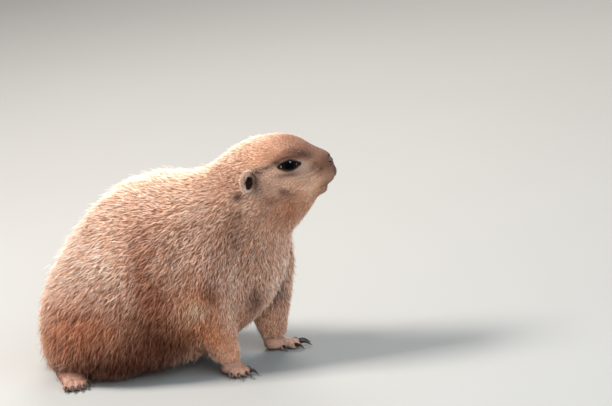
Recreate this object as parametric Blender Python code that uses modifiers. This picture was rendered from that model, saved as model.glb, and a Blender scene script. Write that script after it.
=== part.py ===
"""A life-size prairie dog standing low on all fours, rump down and head reaching forward.

The animal faces +X, its left side is +Y and up is +Z. Lengths are in metres. The soft body is
lofted and swelled from named sizes, blended into one skin and parted with thin cuts where a
person would name its parts. Feet, claws, ears, eyes, nose and tail are made on their own.
"""

import math

import bmesh
import bpy
import numpy as np
from mathutils import Matrix, Vector
from mathutils.bvhtree import BVHTree

MODEL_NAME = "prairie_dog"

# Fit between neighbours
GAP = 0.0003

# Trunk stations from rump to throat: place along X, back line, belly line, half width
TRUNK_STATIONS = (
    (-0.0962, 0.040, 0.022, 0.009),
    (-0.0942, 0.051, 0.013, 0.020),
    (-0.0895, 0.062, 0.007, 0.0305),
    (-0.0825, 0.0740, 0.003, 0.0395),
    (-0.0740, 0.0865, 0.002, 0.0465),
    (-0.0600, 0.1035, 0.0012, 0.0525),
    (-0.0450, 0.1190, 0.0010, 0.0550),
    (-0.0300, 0.1290, 0.0010, 0.0560),
    (-0.0150, 0.1350, 0.0012, 0.0550),
    (0.0000, 0.1380, 0.0016, 0.0535),
    (0.0150, 0.1380, 0.0040, 0.0495),
    (0.0300, 0.1385, 0.013, 0.0430),
    (0.0450, 0.1440, 0.021, 0.0390),
    (0.0600, 0.1515, 0.031, 0.0355),
    (0.0725, 0.1550, 0.042, 0.0325),
    (0.0820, 0.1555, 0.058, 0.0290),
    (0.0890, 0.1535, 0.076, 0.0235),
    (0.0930, 0.1480, 0.092, 0.0150),
)
TRUNK_WIDEST_REAR = 0.36
TRUNK_WIDEST_FRONT = 0.52
TRUNK_SQUARENESS = 0.90
BELLY_SQUARENESS = 0.56

# Head: yaw towards its left about a pivot on the midline, and stations back from the nose tip
HEAD_PIVOT_X = 0.074
HEAD_YAW = math.radians(9.0)
HEAD_REACH = 0.0568
HEAD_STATIONS = (
    (0.0005, 0.1405, 0.1300, 0.0030),
    (0.0025, 0.1438, 0.1260, 0.0066),
    (0.0060, 0.1466, 0.1235, 0.0092),
    (0.0110, 0.1490, 0.1185, 0.0114),
    (0.0160, 0.1520, 0.1125, 0.0134),
    (0.0220, 0.1566, 0.1050, 0.0162),
    (0.0290, 0.1597, 0.0975, 0.0192),
    (0.0370, 0.1609, 0.0905, 0.0226),
    (0.0450, 0.1606, 0.0855, 0.0254),
    (0.0530, 0.1596, 0.0830, 0.0272),
    (0.0610, 0.1575, 0.0830, 0.0278),
    (0.0700, 0.1540, 0.0880, 0.0265),
    (0.0780, 0.1480, 0.1000, 0.0200),
)
HEAD_WIDEST_FRONT = 0.50
HEAD_WIDEST_REAR = 0.56
HEAD_SQUARENESS = 0.88

# Soft swellings in the head's own frame: distance back from the nose, side, height, radii
MUZZLE_PAD = (0.0102, 0.0054, 0.1300, 0.0102, 0.0062, 0.0070)
CHIN_PAD = (0.0142, 0.0000, 0.1202, 0.0074, 0.0062, 0.0048)
BROW = (0.0325, 0.0106, 0.1472, 0.0150, 0.0054, 0.0050)
CHEEK = (0.0350, 0.0140, 0.1250, 0.0200, 0.0098, 0.0140)
JOWL = (0.0480, 0.0170, 0.1200, 0.0160, 0.0120, 0.0150)

# Eyes
EYE_RADIUS = 0.0060
EYE_BACK = 0.0286
EYE_HEIGHT = 0.1424
EYE_BULGE = 0.0012
LID_THICKNESS = 0.0009
LID_SLIT_LENGTH = 0.0124
LID_SLIT_HEIGHT = 0.0076

# Ears
EAR_BACK = 0.0558
EAR_HEIGHT = 0.1356
EAR_LENGTH = 0.0132
EAR_WIDTH = 0.0094
EAR_RISE_REAR = 0.0054
EAR_RISE_FRONT = 0.0007
EAR_ROOT_DEPTH = -0.0016
EAR_NOTCH = math.radians(32.0)
# Rings of the ear: size, height as a share of the rim's (below 0 is the root), shift to the notch
EAR_PROFILE = (
    (0.86, -1.0, 0.0),
    (0.96, 0.15, 0.0),
    (1.00, 0.55, 0.0),
    (0.99, 0.88, 0.0),
    (0.94, 1.00, 0.0),
    (0.87, 0.92, 0.02),
    (0.76, 0.60, 0.08),
    (0.58, 0.25, 0.16),
    (0.30, 0.03, 0.24),
)

# Nose and mouth
NOSE_RADII = (0.0038, 0.0046, 0.0036)
NOSE_BACK = 0.0034
NOSE_HEIGHT = 0.1388
NOSTRIL_RADIUS = 0.0011
MOUTH_HEIGHT_FRONT = 0.1252
MOUTH_HEIGHT_CORNER = 0.1226
MOUTH_GROOVE = 0.0008

# Shoulders and fore limbs; the left limb reaches further forward than the right one
FORE_TRACK = 0.0250
FORE_SHOULDER_LEVEL = 0.0600
RIGHT_FORE_SHIFT = (0.0, 0.0)
LEFT_FORE_SHIFT = (0.0150, 0.0270)
FORE_LIMB_PATH = (
    (0.0260, 0.0290, 0.0920, 0.0250, 0.0150),
    (0.0310, 0.0310, 0.0700, 0.0260, 0.0145),
    (0.0330, 0.0295, 0.0500, 0.0240, 0.0125),
    (0.0385, 0.0270, 0.0340, 0.0180, 0.0110),
    (0.0420, 0.0255, 0.0220, 0.0130, 0.0100),
    (0.0445, 0.0250, 0.0120, 0.0100, 0.0088),
    (0.0455, 0.0250, 0.0070, 0.0088, 0.0080),
)
WRIST_LEVEL = 0.0100
FORE_FOOT_X = 0.0475
RIGHT_FORE_HEADING = math.radians(-42.0)
LEFT_FORE_HEADING = math.radians(8.0)

# Haunches and hind feet
HAUNCH_CENTRE = (-0.0360, 0.0350, 0.0400)
HAUNCH_RADII = (0.0430, 0.0225, 0.0390)
RIGHT_HIND_HEEL = (-0.0800, -0.0240)
RIGHT_HIND_HEADING = math.radians(-52.0)
LEFT_HIND_HEEL = (-0.0640, 0.0330)
LEFT_HIND_HEADING = math.radians(34.0)
HIND_FOOT_TOP = 0.0110
HIND_POCKET_MARGIN = 0.0012

# Tail, laid on the floor round the left of the rump
TAIL_PATH = (
    (-0.0950, 0.0060, 0.0145, 0.0066),
    (-0.1000, 0.0110, 0.0110, 0.0072),
    (-0.1035, 0.0230, 0.0076, 0.0078),
    (-0.1030, 0.0380, 0.0074, 0.0080),
    (-0.0965, 0.0520, 0.0074, 0.0080),
    (-0.0855, 0.0625, 0.0072, 0.0076),
    (-0.0740, 0.0680, 0.0066, 0.0070),
    (-0.0640, 0.0712, 0.0058, 0.0061),
    (-0.0560, 0.0728, 0.0046, 0.0047),
    (-0.0510, 0.0735, 0.0034, 0.0030),
    (-0.0490, 0.0738, 0.0026, 0.0010),
)
TAIL_SOCKET_RADIUS = 0.0084

# Mesh fineness
TRUNK_VOXEL = 0.0022
SKIN_VOXEL = 0.0011
FOOT_VOXEL = 0.0007
HEAD_TRIANGLES = 2400
NECK_TRIANGLES = 400
TRUNK_TRIANGLES = 2900
FOOT_TRIANGLES = 400
TAIL_TRIANGLES = 280

COAT = (0.55, 0.34, 0.20)
PALE_COAT = (0.62, 0.47, 0.33)
DARK_COAT = (0.10, 0.07, 0.05)
EYE_BLACK = (0.012, 0.010, 0.010)
NOSE_GREY = (0.16, 0.12, 0.11)


def empty_scene():
    for thing in list(bpy.data.objects):
        bpy.data.objects.remove(thing, do_unlink=True)


def new_collection(name):
    made = bpy.data.collections.new(name)
    bpy.context.scene.collection.children.link(made)
    return made


def finish_material(name, colour, roughness):
    """One Principled material with the part's colour and roughness."""
    made = bpy.data.materials.new(name)
    made.use_nodes = True
    shader = made.node_tree.nodes["Principled BSDF"]
    shader.inputs["Base Color"].default_value = (*colour, 1.0)
    shader.inputs["Roughness"].default_value = roughness
    shader.inputs["Metallic"].default_value = 0.0
    return made


def mesh_object(name, points, faces, home):
    mesh = bpy.data.meshes.new(name)
    mesh.from_pydata([tuple(map(float, p)) for p in points], [], faces)
    made = bpy.data.objects.new(name, mesh)
    home.objects.link(made)
    return made


def remove_object(thing):
    mesh = thing.data
    bpy.data.objects.remove(thing, do_unlink=True)
    if mesh.users == 0:
        bpy.data.meshes.remove(mesh)


def apply_modifiers(thing):
    """Replaces the object's mesh by what its modifiers make of it."""
    bpy.context.view_layer.update()
    graph = bpy.context.evaluated_depsgraph_get()
    made = bpy.data.meshes.new_from_object(thing.evaluated_get(graph))
    old = thing.data
    thing.modifiers.clear()
    thing.data = made
    bpy.data.meshes.remove(old)
    return thing


def edit_mesh(thing, change):
    """Runs change(bm) on the object's mesh and writes the result back."""
    bm = bmesh.new()
    bm.from_mesh(thing.data)
    change(bm)
    bm.to_mesh(thing.data)
    bm.free()
    thing.data.update()
    return thing


def loft(name, rings, home):
    """Skins closed rings of equal length in order and caps both ends."""
    rings = [np.asarray(ring) for ring in rings]
    sides = len(rings[0])
    points = np.concatenate(rings)
    faces = []
    for row in range(len(rings) - 1):
        for side in range(sides):
            after = (side + 1) % sides
            low, high = row * sides, (row + 1) * sides
            faces.append((low + side, low + after, high + after, high + side))
    faces.append(tuple(range(sides - 1, -1, -1)))
    last = (len(rings) - 1) * sides
    faces.append(tuple(range(last, last + sides)))
    made = mesh_object(name, points, faces, home)

    def outwards(bm):
        bmesh.ops.recalc_face_normals(bm, faces=bm.faces[:])

    return edit_mesh(made, outwards)


def smooth_rows(rows, count):
    """Reads a table of stations as a Catmull-Rom curve through its rows, at count even steps."""
    rows = np.asarray(rows, float)
    padded = np.vstack([2 * rows[0] - rows[1], rows, 2 * rows[-1] - rows[-2]])
    steps = np.linspace(0.0, len(rows) - 1.0, count)
    span = np.minimum(steps.astype(int), len(rows) - 2)
    t = (steps - span)[:, None]
    a, b, c, d = (padded[span + k] for k in range(4))
    return 0.5 * (2 * b + (c - a) * t + (2 * a - 5 * b + 4 * c - d) * t**2 + (3 * b - a - 3 * c + d) * t**3)


def egg_ring(top, bottom, half_width, widest, upper_power, lower_power, sides):
    """A closed section of two half superellipses that meet at the widest level."""
    angle = np.linspace(0.0, 2 * math.pi, sides, endpoint=False)
    level = bottom + widest * (top - bottom)
    power = np.where(np.sin(angle) > 0, upper_power, lower_power)
    rise = np.where(np.sin(angle) > 0, top - level, level - bottom)
    across = half_width * np.sign(np.cos(angle)) * np.abs(np.cos(angle)) ** power
    height = level + rise * np.sign(np.sin(angle)) * np.abs(np.sin(angle)) ** power
    return across, height


def ellipsoid(name, centre, radii, turn, home, sides=24, rings=14):
    """A scaled and turned sphere with its place in its mesh."""
    made = mesh_object(name, [], [], home)

    def fill(bm):
        shape = Matrix.Translation(Vector(centre)) @ turn.to_4x4() @ Matrix.Diagonal((*radii, 1.0))
        bmesh.ops.create_uvsphere(bm, u_segments=sides, v_segments=rings, radius=1.0, matrix=shape)

    return edit_mesh(made, fill)


def limb(name, path, home, count=24, sides=24):
    """A limb along a curve in a plane of constant Y: each row is a centre and two half widths."""
    rows = smooth_rows(path, count)
    centres = rows[:, :3]
    along = np.gradient(centres, axis=0)
    along /= np.linalg.norm(along, axis=1)[:, None]
    side_axis = np.array([0.0, 1.0, 0.0])
    fore_axis = np.cross(side_axis, along)
    fore_axis /= np.linalg.norm(fore_axis, axis=1)[:, None]
    angle = np.linspace(0.0, 2 * math.pi, sides, endpoint=False)[:, None]
    rings = []
    for row, fore in zip(rows, fore_axis):
        rings.append(row[:3] + np.cos(angle) * row[3] * fore + np.sin(angle) * row[4] * side_axis)
    return loft(name, rings, home)


def tube(name, path, home, count, sides):
    """A round tapered tube along a curve: each row of the path is a centre and a radius."""
    rows = smooth_rows(path, count)
    centres = rows[:, :3]
    along = np.gradient(centres, axis=0)
    along /= np.linalg.norm(along, axis=1)[:, None]
    start_side = np.cross(along[0], (0.0, 0.0, 1.0))
    angle = np.linspace(0.0, 2 * math.pi, sides, endpoint=False)[:, None]
    rings = []
    side_axis = start_side / np.linalg.norm(start_side)
    for row, ahead in zip(rows, along):
        side_axis = side_axis - ahead * np.dot(side_axis, ahead)
        side_axis = side_axis / np.linalg.norm(side_axis)
        up_axis = np.cross(side_axis, ahead)
        radius = max(row[3], 0.00012)
        rings.append(row[:3] + radius * (np.cos(angle) * side_axis + np.sin(angle) * up_axis))
    return loft(name, rings, home)


def join_pieces(name, pieces, home):
    """Puts several closed pieces into one object, still as separate surfaces."""
    whole = bmesh.new()
    for piece in pieces:
        whole.from_mesh(piece.data)
    mesh = bpy.data.meshes.new(name)
    whole.to_mesh(mesh)
    whole.free()
    for piece in pieces:
        remove_object(piece)
    made = bpy.data.objects.new(name, mesh)
    home.objects.link(made)
    return made


def blend_pieces(name, pieces, voxel, softening, home):
    """Fuses overlapping pieces into one skin and softens the creases between them."""
    made = join_pieces(name, pieces, home)
    remesh = made.modifiers.new("Fuse", "REMESH")
    remesh.mode = "VOXEL"
    remesh.voxel_size = voxel
    soften = made.modifiers.new("Soften", "SMOOTH")
    soften.factor = 0.5
    soften.iterations = softening
    return apply_modifiers(made)


def largest_body(thing):
    """Keeps the object's largest closed surface and drops any scrap."""

    def change(bm):
        left = set(bm.verts)
        groups = []
        while left:
            stack = [left.pop()]
            group = set(stack)
            while stack:
                for edge in stack.pop().link_edges:
                    for vert in edge.verts:
                        if vert in left:
                            left.remove(vert)
                            group.add(vert)
                            stack.append(vert)
            groups.append(group)
        groups.sort(key=len)
        drop = [vert for group in groups[:-1] for vert in group]
        if drop:
            bmesh.ops.delete(bm, geom=drop, context="VERTS")

    return edit_mesh(thing, change)


def keep_beyond(thing, place, normal):
    """Cuts the object with a plane, keeps the side the normal points to and closes the cut."""

    def change(bm):
        bmesh.ops.bisect_plane(
            bm,
            geom=bm.verts[:] + bm.edges[:] + bm.faces[:],
            dist=1e-7,
            plane_co=Vector(place),
            plane_no=Vector(normal),
            clear_inner=True,
        )
        rim = [edge for edge in bm.edges if edge.is_boundary]
        bmesh.ops.holes_fill(bm, edges=rim, sides=0)
        bmesh.ops.triangulate(bm, faces=[f for f in bm.faces if len(f.verts) > 4])

    return largest_body(edit_mesh(thing, change))


def copy_object(thing, name, home):
    made = thing.copy()
    made.data = thing.data.copy()
    made.name = name
    home.objects.link(made)
    return made


def thin_out(thing, triangles):
    """Collapses edges until about the wanted number of triangles is left."""
    edit_mesh(thing, lambda bm: bmesh.ops.triangulate(bm, faces=bm.faces[:]))
    fewer = thing.modifiers.new("Fewer faces", "DECIMATE")
    fewer.ratio = min(1.0, triangles / len(thing.data.polygons))
    fewer.use_collapse_triangulate = True
    return apply_modifiers(thing)


def flatten_onto(thing, place, normal, reach=0.00025):
    """Sets the points that a cut left near its plane exactly on the plane."""
    place, normal = Vector(place), Vector(normal).normalized()

    def change(bm):
        for vert in bm.verts:
            height = (vert.co - place).dot(normal)
            if abs(height) < reach:
                vert.co -= normal * height

    return edit_mesh(thing, change)


def boolean(thing, cutter, operation, solver="EXACT"):
    """Applies one Boolean with a closed mesh object."""
    cut = thing.modifiers.new(operation.title(), "BOOLEAN")
    cut.operation = operation
    cut.solver = solver
    cut.object = cutter
    return apply_modifiers(thing)


def tidy_mesh(thing):
    """Merges points closer than a thousandth of a millimetre and triangulates."""

    def change(bm):
        bmesh.ops.remove_doubles(bm, verts=bm.verts[:], dist=0.000001)
        bmesh.ops.dissolve_degenerate(bm, edges=bm.edges[:], dist=0.000001)
        bmesh.ops.triangulate(bm, faces=bm.faces[:])

    return largest_body(edit_mesh(thing, change))


def head_point(back, side, height):
    """A point given back from the nose tip, to the head's left and above the floor."""
    reach = HEAD_REACH - back
    x = HEAD_PIVOT_X + reach * math.cos(HEAD_YAW) - side * math.sin(HEAD_YAW)
    y = reach * math.sin(HEAD_YAW) + side * math.cos(HEAD_YAW)
    return Vector((x, y, height))


HEAD_TURN = Matrix.Rotation(HEAD_YAW, 3, "Z")


def head_swelling(name, sizes, hand, home):
    back, side, height, along, across, tall = sizes
    centre = head_point(back, hand * side, height)
    return ellipsoid(name, centre, (along, across, tall), HEAD_TURN, home)


def make_trunk_loft(home):
    rows = smooth_rows(TRUNK_STATIONS, 70)
    first, last = rows[0, 0], rows[-1, 0]
    rings = []
    for x, top, bottom, half_width in rows:
        share = (x - first) / (last - first)
        widest = TRUNK_WIDEST_REAR + share * (TRUNK_WIDEST_FRONT - TRUNK_WIDEST_REAR)
        lower = BELLY_SQUARENESS + share**2.2 * (TRUNK_SQUARENESS - BELLY_SQUARENESS)
        across, height = egg_ring(top, bottom, half_width, widest, TRUNK_SQUARENESS, lower, 40)
        rings.append(np.stack([np.full_like(across, x), across, height], axis=1))
    return loft("trunk_loft", rings, home)


def make_head_loft(home):
    rows = smooth_rows(HEAD_STATIONS, 50)
    rings = []
    for back, top, bottom, half_width in rows:
        share = (back - rows[0, 0]) / (rows[-1, 0] - rows[0, 0])
        widest = HEAD_WIDEST_FRONT + share * (HEAD_WIDEST_REAR - HEAD_WIDEST_FRONT)
        across, height = egg_ring(
            top, bottom, half_width, widest, HEAD_SQUARENESS, HEAD_SQUARENESS, 36
        )
        reach = HEAD_REACH - back
        x = HEAD_PIVOT_X + reach * math.cos(HEAD_YAW) - across * math.sin(HEAD_YAW)
        y = reach * math.sin(HEAD_YAW) + across * math.cos(HEAD_YAW)
        rings.append(np.stack([x, y, height], axis=1))
    return loft("head_loft", rings, home)


def fore_limb_rows(hand, shift, start, stop):
    """The fore limb's path for one side, moved forward by one length at the floor and one above."""
    low, high = shift
    rows = []
    for x, y, z, fore, across in FORE_LIMB_PATH[start:stop]:
        share = min(1.0, z / FORE_SHOULDER_LEVEL)
        rows.append((x + low + share * (high - low), hand * y, z, fore, across))
    return rows


def make_body(home):
    """The whole soft body without feet, tail, ears, eyes and nose."""
    level = Matrix.Identity(3)
    pieces = [make_trunk_loft(home), make_head_loft(home)]
    for hand, shift in ((-1, RIGHT_FORE_SHIFT), (1, LEFT_FORE_SHIFT)):
        pieces.append(limb("upper_limb", fore_limb_rows(hand, shift, 0, 5), home))
        x, y, z = HAUNCH_CENTRE
        pieces.append(ellipsoid("haunch", (x, hand * y, z), HAUNCH_RADII, level, home, 32, 20))
        pieces.append(head_swelling("jowl", JOWL, hand, home))
    trunk = blend_pieces("trunk", pieces, TRUNK_VOXEL, 8, home)
    details = [trunk]
    for hand, shift in ((-1, RIGHT_FORE_SHIFT), (1, LEFT_FORE_SHIFT)):
        details.append(limb("lower_limb", fore_limb_rows(hand, shift, 2, 7), home))
        for name, sizes in (("pad", MUZZLE_PAD), ("brow", BROW), ("cheek", CHEEK)):
            details.append(head_swelling(name, sizes, hand, home))
    details.append(head_swelling("chin", CHIN_PAD, 1, home))
    return blend_pieces("body", details, SKIN_VOXEL, 7, home)


# Thin cuts: a place on the plane and the direction towards the named node
HEAD_CUT = ((0.0660, 0.0, 0.125), (0.916, 0.0, 0.401))
NECK_CUT = ((0.0300, 0.0, 0.141), (0.815, 0.0, 0.580))


def moved_plane(plane, distance):
    place, normal = Vector(plane[0]), Vector(plane[1]).normalized()
    return place + normal * distance, normal


def part_along(body, near_plane, far_plane, name, triangles, home):
    """The slice of the body beyond one plane and, if given, before the other."""
    made = copy_object(body, name, home)
    sides = []
    if near_plane:
        sides.append(moved_plane(near_plane, GAP / 2))
    if far_plane:
        place, normal = moved_plane(far_plane, -GAP / 2)
        sides.append((place, -normal))
    for place, normal in sides:
        keep_beyond(made, place, normal)
    thin_out(made, triangles)
    for place, normal in sides:
        flatten_onto(made, place, normal)
    return tidy_mesh(made)


def wedge(name, faces_out, home, reach=0.20):
    """A convex cutter: a large cube trimmed by planes, each given as a place and an outward normal."""
    made = mesh_object(name, [], [], home)
    edit_mesh(made, lambda bm: bmesh.ops.create_cube(bm, size=2 * reach))
    for place, normal in faces_out:
        keep_beyond(made, place, -Vector(normal))
    made.hide_render = True
    made.display_type = "WIRE"
    return made


def limb_wedges(name, planes, home):
    """Two cutters for one limb, for the limb itself and, a gap larger, for its socket."""
    made = []
    for label, distance in (("limb", 0.0), ("socket", GAP)):
        shifted = []
        for place, normal in planes:
            outward = Vector(normal).normalized()
            shifted.append((Vector(place) + outward * distance, outward))
        made.append(wedge(f"{name}_{label}", shifted, home))
    return made


def fore_limb_planes(hand, shift):
    """Above and inside the limb one sloping plane, and behind it another."""
    return (
        ((0.035, hand * 0.0165, 0.030), (0.0, -hand * 0.77, 0.64)),
        ((0.0070 + shift[1], hand * 0.040, 0.045), (-0.97, 0.0, 0.24)),
    )


def hind_limb_planes(hand):
    """Inside, above and in front of the haunch."""
    return (
        ((-0.045, hand * 0.0340, 0.040), (0.0, -hand, 0.0)),
        ((-0.045, hand * 0.0520, 0.074), (0.10, -hand * 0.42, 0.90)),
        ((0.0020, hand * 0.045, 0.040), (0.95, -hand * 0.10, 0.30)),
    )


def part_limb(trunk, name, planes, home, cutters):
    """Parts one limb from the trunk by a convex wedge with a thin gap round it."""
    limb_cutter, socket_cutter = limb_wedges(name, planes, cutters)
    made = copy_object(trunk, name, home)
    boolean(made, limb_cutter, "INTERSECT")
    boolean(trunk, socket_cutter, "DIFFERENCE")
    remove_object(limb_cutter)
    remove_object(socket_cutter)
    tidy_mesh(made)
    tidy_mesh(trunk)
    return made


def surface_point(tree, origin, direction):
    """Where a ray from outside first meets the surface, and the outward normal there."""
    place, normal, _, _ = tree.ray_cast(Vector(origin), Vector(direction).normalized())
    return place, normal


def object_tree(thing):
    bm = bmesh.new()
    bm.from_mesh(thing.data)
    tree = BVHTree.FromBMesh(bm)
    bm.free()
    return tree


def eye_placing(tree, hand):
    """The eyeball's centre, sunk so that it bulges only a little, and the way it looks."""
    gaze = HEAD_TURN @ Vector((0.30, hand * 0.94, 0.16)).normalized()
    aim = head_point(EYE_BACK, hand * 0.0, EYE_HEIGHT)
    outside = aim + HEAD_TURN @ Vector((0.0, hand * 0.06, 0.0))
    place, _ = surface_point(tree, outside, aim - outside)
    return place - gaze * (EYE_RADIUS - EYE_BULGE), gaze


def gaze_turn(gaze):
    """A rotation whose local X runs along the eye slit, Y up it and Z along the gaze."""
    ahead = gaze.normalized()
    along = Vector((0.0, 0.0, 1.0)).cross(ahead).normalized()
    up = ahead.cross(along)
    return Matrix((along, up, ahead)).transposed()


def lid_slit(name, centre, turn, home):
    """An almond prism along the gaze: two arcs that meet in the eye's corners."""
    steps = np.linspace(-1.0, 1.0, 13)
    upper = [(s * LID_SLIT_LENGTH / 2, (1 - s * s) * LID_SLIT_HEIGHT * 0.54) for s in steps]
    lower = [(s * LID_SLIT_LENGTH / 2, -(1 - s * s) * LID_SLIT_HEIGHT * 0.46) for s in steps[-2:0:-1]]
    outline = upper + lower
    rings = []
    for depth in (0.0, 0.02):
        ring = [centre + turn @ Vector((x, y, depth)) for x, y in outline]
        rings.append([tuple(p) for p in ring])
    return loft(name, rings, home)


def make_eyes(head, home, cutters):
    """Both eyeballs, and in the head the lids over them, their slits and the sockets.

    The exact solver leaves open edges in the corners of the lids, so these cuts use MANIFOLD.
    """
    tree = object_tree(head)
    socket = EYE_RADIUS + GAP
    lid = socket + LID_THICKNESS
    places = []
    for hand, label in ((-1, "right"), (1, "left")):
        centre, gaze = eye_placing(tree, hand)
        places.append((label, centre, gaze_turn(gaze)))
    for _, centre, turn in places:
        shell = ellipsoid("lid_shell", centre, (lid,) * 3, turn, cutters, 22, 14)
        boolean(head, shell, "UNION", "MANIFOLD")
        remove_object(shell)
    made = []
    for label, centre, turn in places:
        hollow = ellipsoid("socket", centre, (socket,) * 3, turn, cutters, 20, 12)
        slit = lid_slit("lid_slit", centre, turn, cutters)
        boolean(hollow, slit, "UNION", "MANIFOLD")
        boolean(head, hollow, "DIFFERENCE", "MANIFOLD")
        remove_object(slit)
        remove_object(hollow)
        made.append(ellipsoid(f"eye_{label}", centre, (EYE_RADIUS,) * 3, turn, home, 20, 12))
    return made


def make_ear(head, hand, label, home, cutters):
    """A low cupped ear: rings climb the outside, turn over the rim and go down into the hollow."""
    tree = object_tree(head)
    aim = head_point(EAR_BACK, 0.0, EAR_HEIGHT)
    outside = aim + HEAD_TURN @ Vector((0.0, hand * 0.06, 0.0))
    root, normal = surface_point(tree, outside, aim - outside)
    lean = (HEAD_TURN @ Vector((0.30, hand * 0.92, 0.16))).normalized()
    out = (normal + lean).normalized()
    up = (Vector((0.12, 0.0, 1.0)) - out * out.z).normalized()
    fore = up.cross(out).normalized() * -hand
    if fore.x < 0:
        fore = -fore
    up = (up - out * up.dot(out)).normalized()
    count = 22
    angle = np.linspace(0.0, 2 * math.pi, count, endpoint=False)
    forward = 0.5 + 0.5 * np.cos(angle + EAR_NOTCH)
    rise = EAR_RISE_REAR + (EAR_RISE_FRONT - EAR_RISE_REAR) * forward**0.8
    rings = []
    for spread, share, inwards in EAR_PROFILE:
        height = rise * share if share >= 0 else np.full(count, EAR_ROOT_DEPTH)
        x = EAR_WIDTH / 2 * (spread * np.cos(angle) + inwards * math.cos(EAR_NOTCH))
        y = EAR_LENGTH / 2 * (spread * np.sin(angle) - inwards * math.sin(EAR_NOTCH))
        ring = []
        for a, b, h in zip(x, y, height):
            ring.append(tuple(root + fore * a + up * b + out * float(h)))
        rings.append(ring)
    ear = loft(f"ear_{label}", rings, home)
    pocket_rings = []
    margin = 1.0 + GAP / (EAR_WIDTH / 2) * 1.4
    for spread, depth in ((0.86, EAR_ROOT_DEPTH - GAP), (0.96, 0.0), (1.0, 0.003), (1.0, 0.012)):
        ring = []
        for a in angle:
            side = fore * (EAR_WIDTH / 2 * spread * margin * math.cos(a))
            tall = up * (EAR_LENGTH / 2 * spread * margin * math.sin(a))
            ring.append(tuple(root + side + tall + out * depth))
        pocket_rings.append(ring)
    pocket = loft("ear_pocket", pocket_rings, cutters)
    boolean(head, pocket, "DIFFERENCE")
    remove_object(pocket)
    return ear


def make_nose(head, home, cutters):
    """The bare nose pad, sunk in the muzzle, with a comma-shaped nostril on each side."""
    centre = head_point(NOSE_BACK, 0.0, NOSE_HEIGHT)
    nose = ellipsoid("nose", centre, NOSE_RADII, HEAD_TURN, home, 18, 10)
    seat_radii = tuple(radius + GAP for radius in NOSE_RADII)
    seat = ellipsoid("nose_seat", centre, seat_radii, HEAD_TURN, cutters, 18, 10)
    boolean(head, seat, "DIFFERENCE")
    remove_object(seat)
    along, across, tall = NOSE_RADII
    for hand in (-1, 1):
        path = []
        for share, radius in ((0.0, 1.0), (0.35, 0.95), (0.7, 0.75), (1.0, 0.45)):
            swing = math.radians(34.0 + 42.0 * share) * hand
            lift = math.radians(2.0 + 16.0 * share)
            local = Vector(
                (
                    along * math.cos(swing) * math.cos(lift),
                    across * math.sin(swing) * math.cos(lift),
                    tall * math.sin(lift),
                )
            )
            place = centre + HEAD_TURN @ (local * 0.97)
            path.append((*place, NOSTRIL_RADIUS * radius))
        pit = tube("nostril", path, cutters, 7, 6)
        boolean(nose, pit, "DIFFERENCE")
        remove_object(pit)
    return tidy_mesh(nose)


def cut_mouth(head, cutters):
    """A fine groove round the muzzle for the line of the mouth, and one up to the nose."""
    tree = object_tree(head)
    path = []
    for share in np.linspace(-1.0, 1.0, 15):
        swing = math.radians(118.0) * share
        back = 0.0105 - 0.0105 * math.cos(swing)
        drop = MOUTH_HEIGHT_FRONT + (MOUTH_HEIGHT_CORNER - MOUTH_HEIGHT_FRONT) * abs(share) ** 1.5
        aim = head_point(0.0105 + max(0.0, back - 0.0105), 0.0, drop)
        away = HEAD_TURN @ Vector((math.cos(swing), math.sin(swing), 0.0))
        if abs(share) > 0.76:
            away = HEAD_TURN @ Vector((0.0, math.copysign(1.0, share), 0.0))
        place, _ = surface_point(tree, aim + away * 0.05, -away)
        path.append((*place, MOUTH_GROOVE))
    groove = tube("mouth_groove", path, cutters, 28, 5)
    boolean(head, groove, "DIFFERENCE")
    remove_object(groove)
    path = []
    for height in np.linspace(MOUTH_HEIGHT_FRONT, NOSE_HEIGHT - 0.0020, 9):
        aim = head_point(0.012, 0.0, height)
        away = HEAD_TURN @ Vector((1.0, 0.0, 0.0))
        place, _ = surface_point(tree, aim + away * 0.05, -away)
        path.append((*place, MOUTH_GROOVE * 0.7))
    groove = tube("philtrum", path, cutters, 16, 6)
    boolean(head, groove, "DIFFERENCE")
    remove_object(groove)


def claw(name, root, heading, length, radius, drop, home):
    """A curved claw that tapers to its tip and arches down."""
    rows = []
    for share in (0.0, 0.25, 0.5, 0.75, 1.0):
        ahead = share * length
        height = root[2] + radius * 1.2 * math.sin(math.pi * min(1.0, share * 1.15)) - drop * share**2
        x = root[0] + ahead * math.cos(heading)
        y = root[1] + ahead * math.sin(heading)
        rows.append((x, y, height, radius * (1.0 - share) ** 0.7))
    return tube(name, rows, home, 6, 6)


def toe(name, start, heading, length, radius, home):
    """One toe: a tube that arches over its knuckle and comes down at its pad."""
    rows = []
    for share, lift, size in ((0.0, 0.6, 0.9), (0.35, 1.0, 1.0), (0.7, 0.6, 0.95), (1.0, 0.12, 0.8)):
        x = start[0] + share * length * math.cos(heading)
        y = start[1] + share * length * math.sin(heading)
        rows.append((x, y, radius * 0.92 + lift * radius * 0.7, radius * size))
    end = rows[-1]
    made = tube(name, rows, home, 12, 10)
    cap = ellipsoid(name + "_tip", end[:3], (radius * 0.85,) * 3, Matrix.Identity(3), home, 12, 8)
    return [made, cap], end


FORE_TOES = (
    (-34.0, 0.0075, 0.0022, 0.0070),
    (-15.0, 0.0105, 0.0024, 0.0095),
    (3.0, 0.0115, 0.0025, 0.0105),
    (21.0, 0.0100, 0.0024, 0.0095),
    (46.0, 0.0045, 0.0019, 0.0055),
)
HIND_TOES = (
    (-24.0, 0.0110, 0.0024, 0.0060),
    (-11.0, 0.0140, 0.0026, 0.0068),
    (0.0, 0.0150, 0.0027, 0.0070),
    (11.0, 0.0140, 0.0026, 0.0068),
    (26.0, 0.0090, 0.0022, 0.0055),
)


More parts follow.
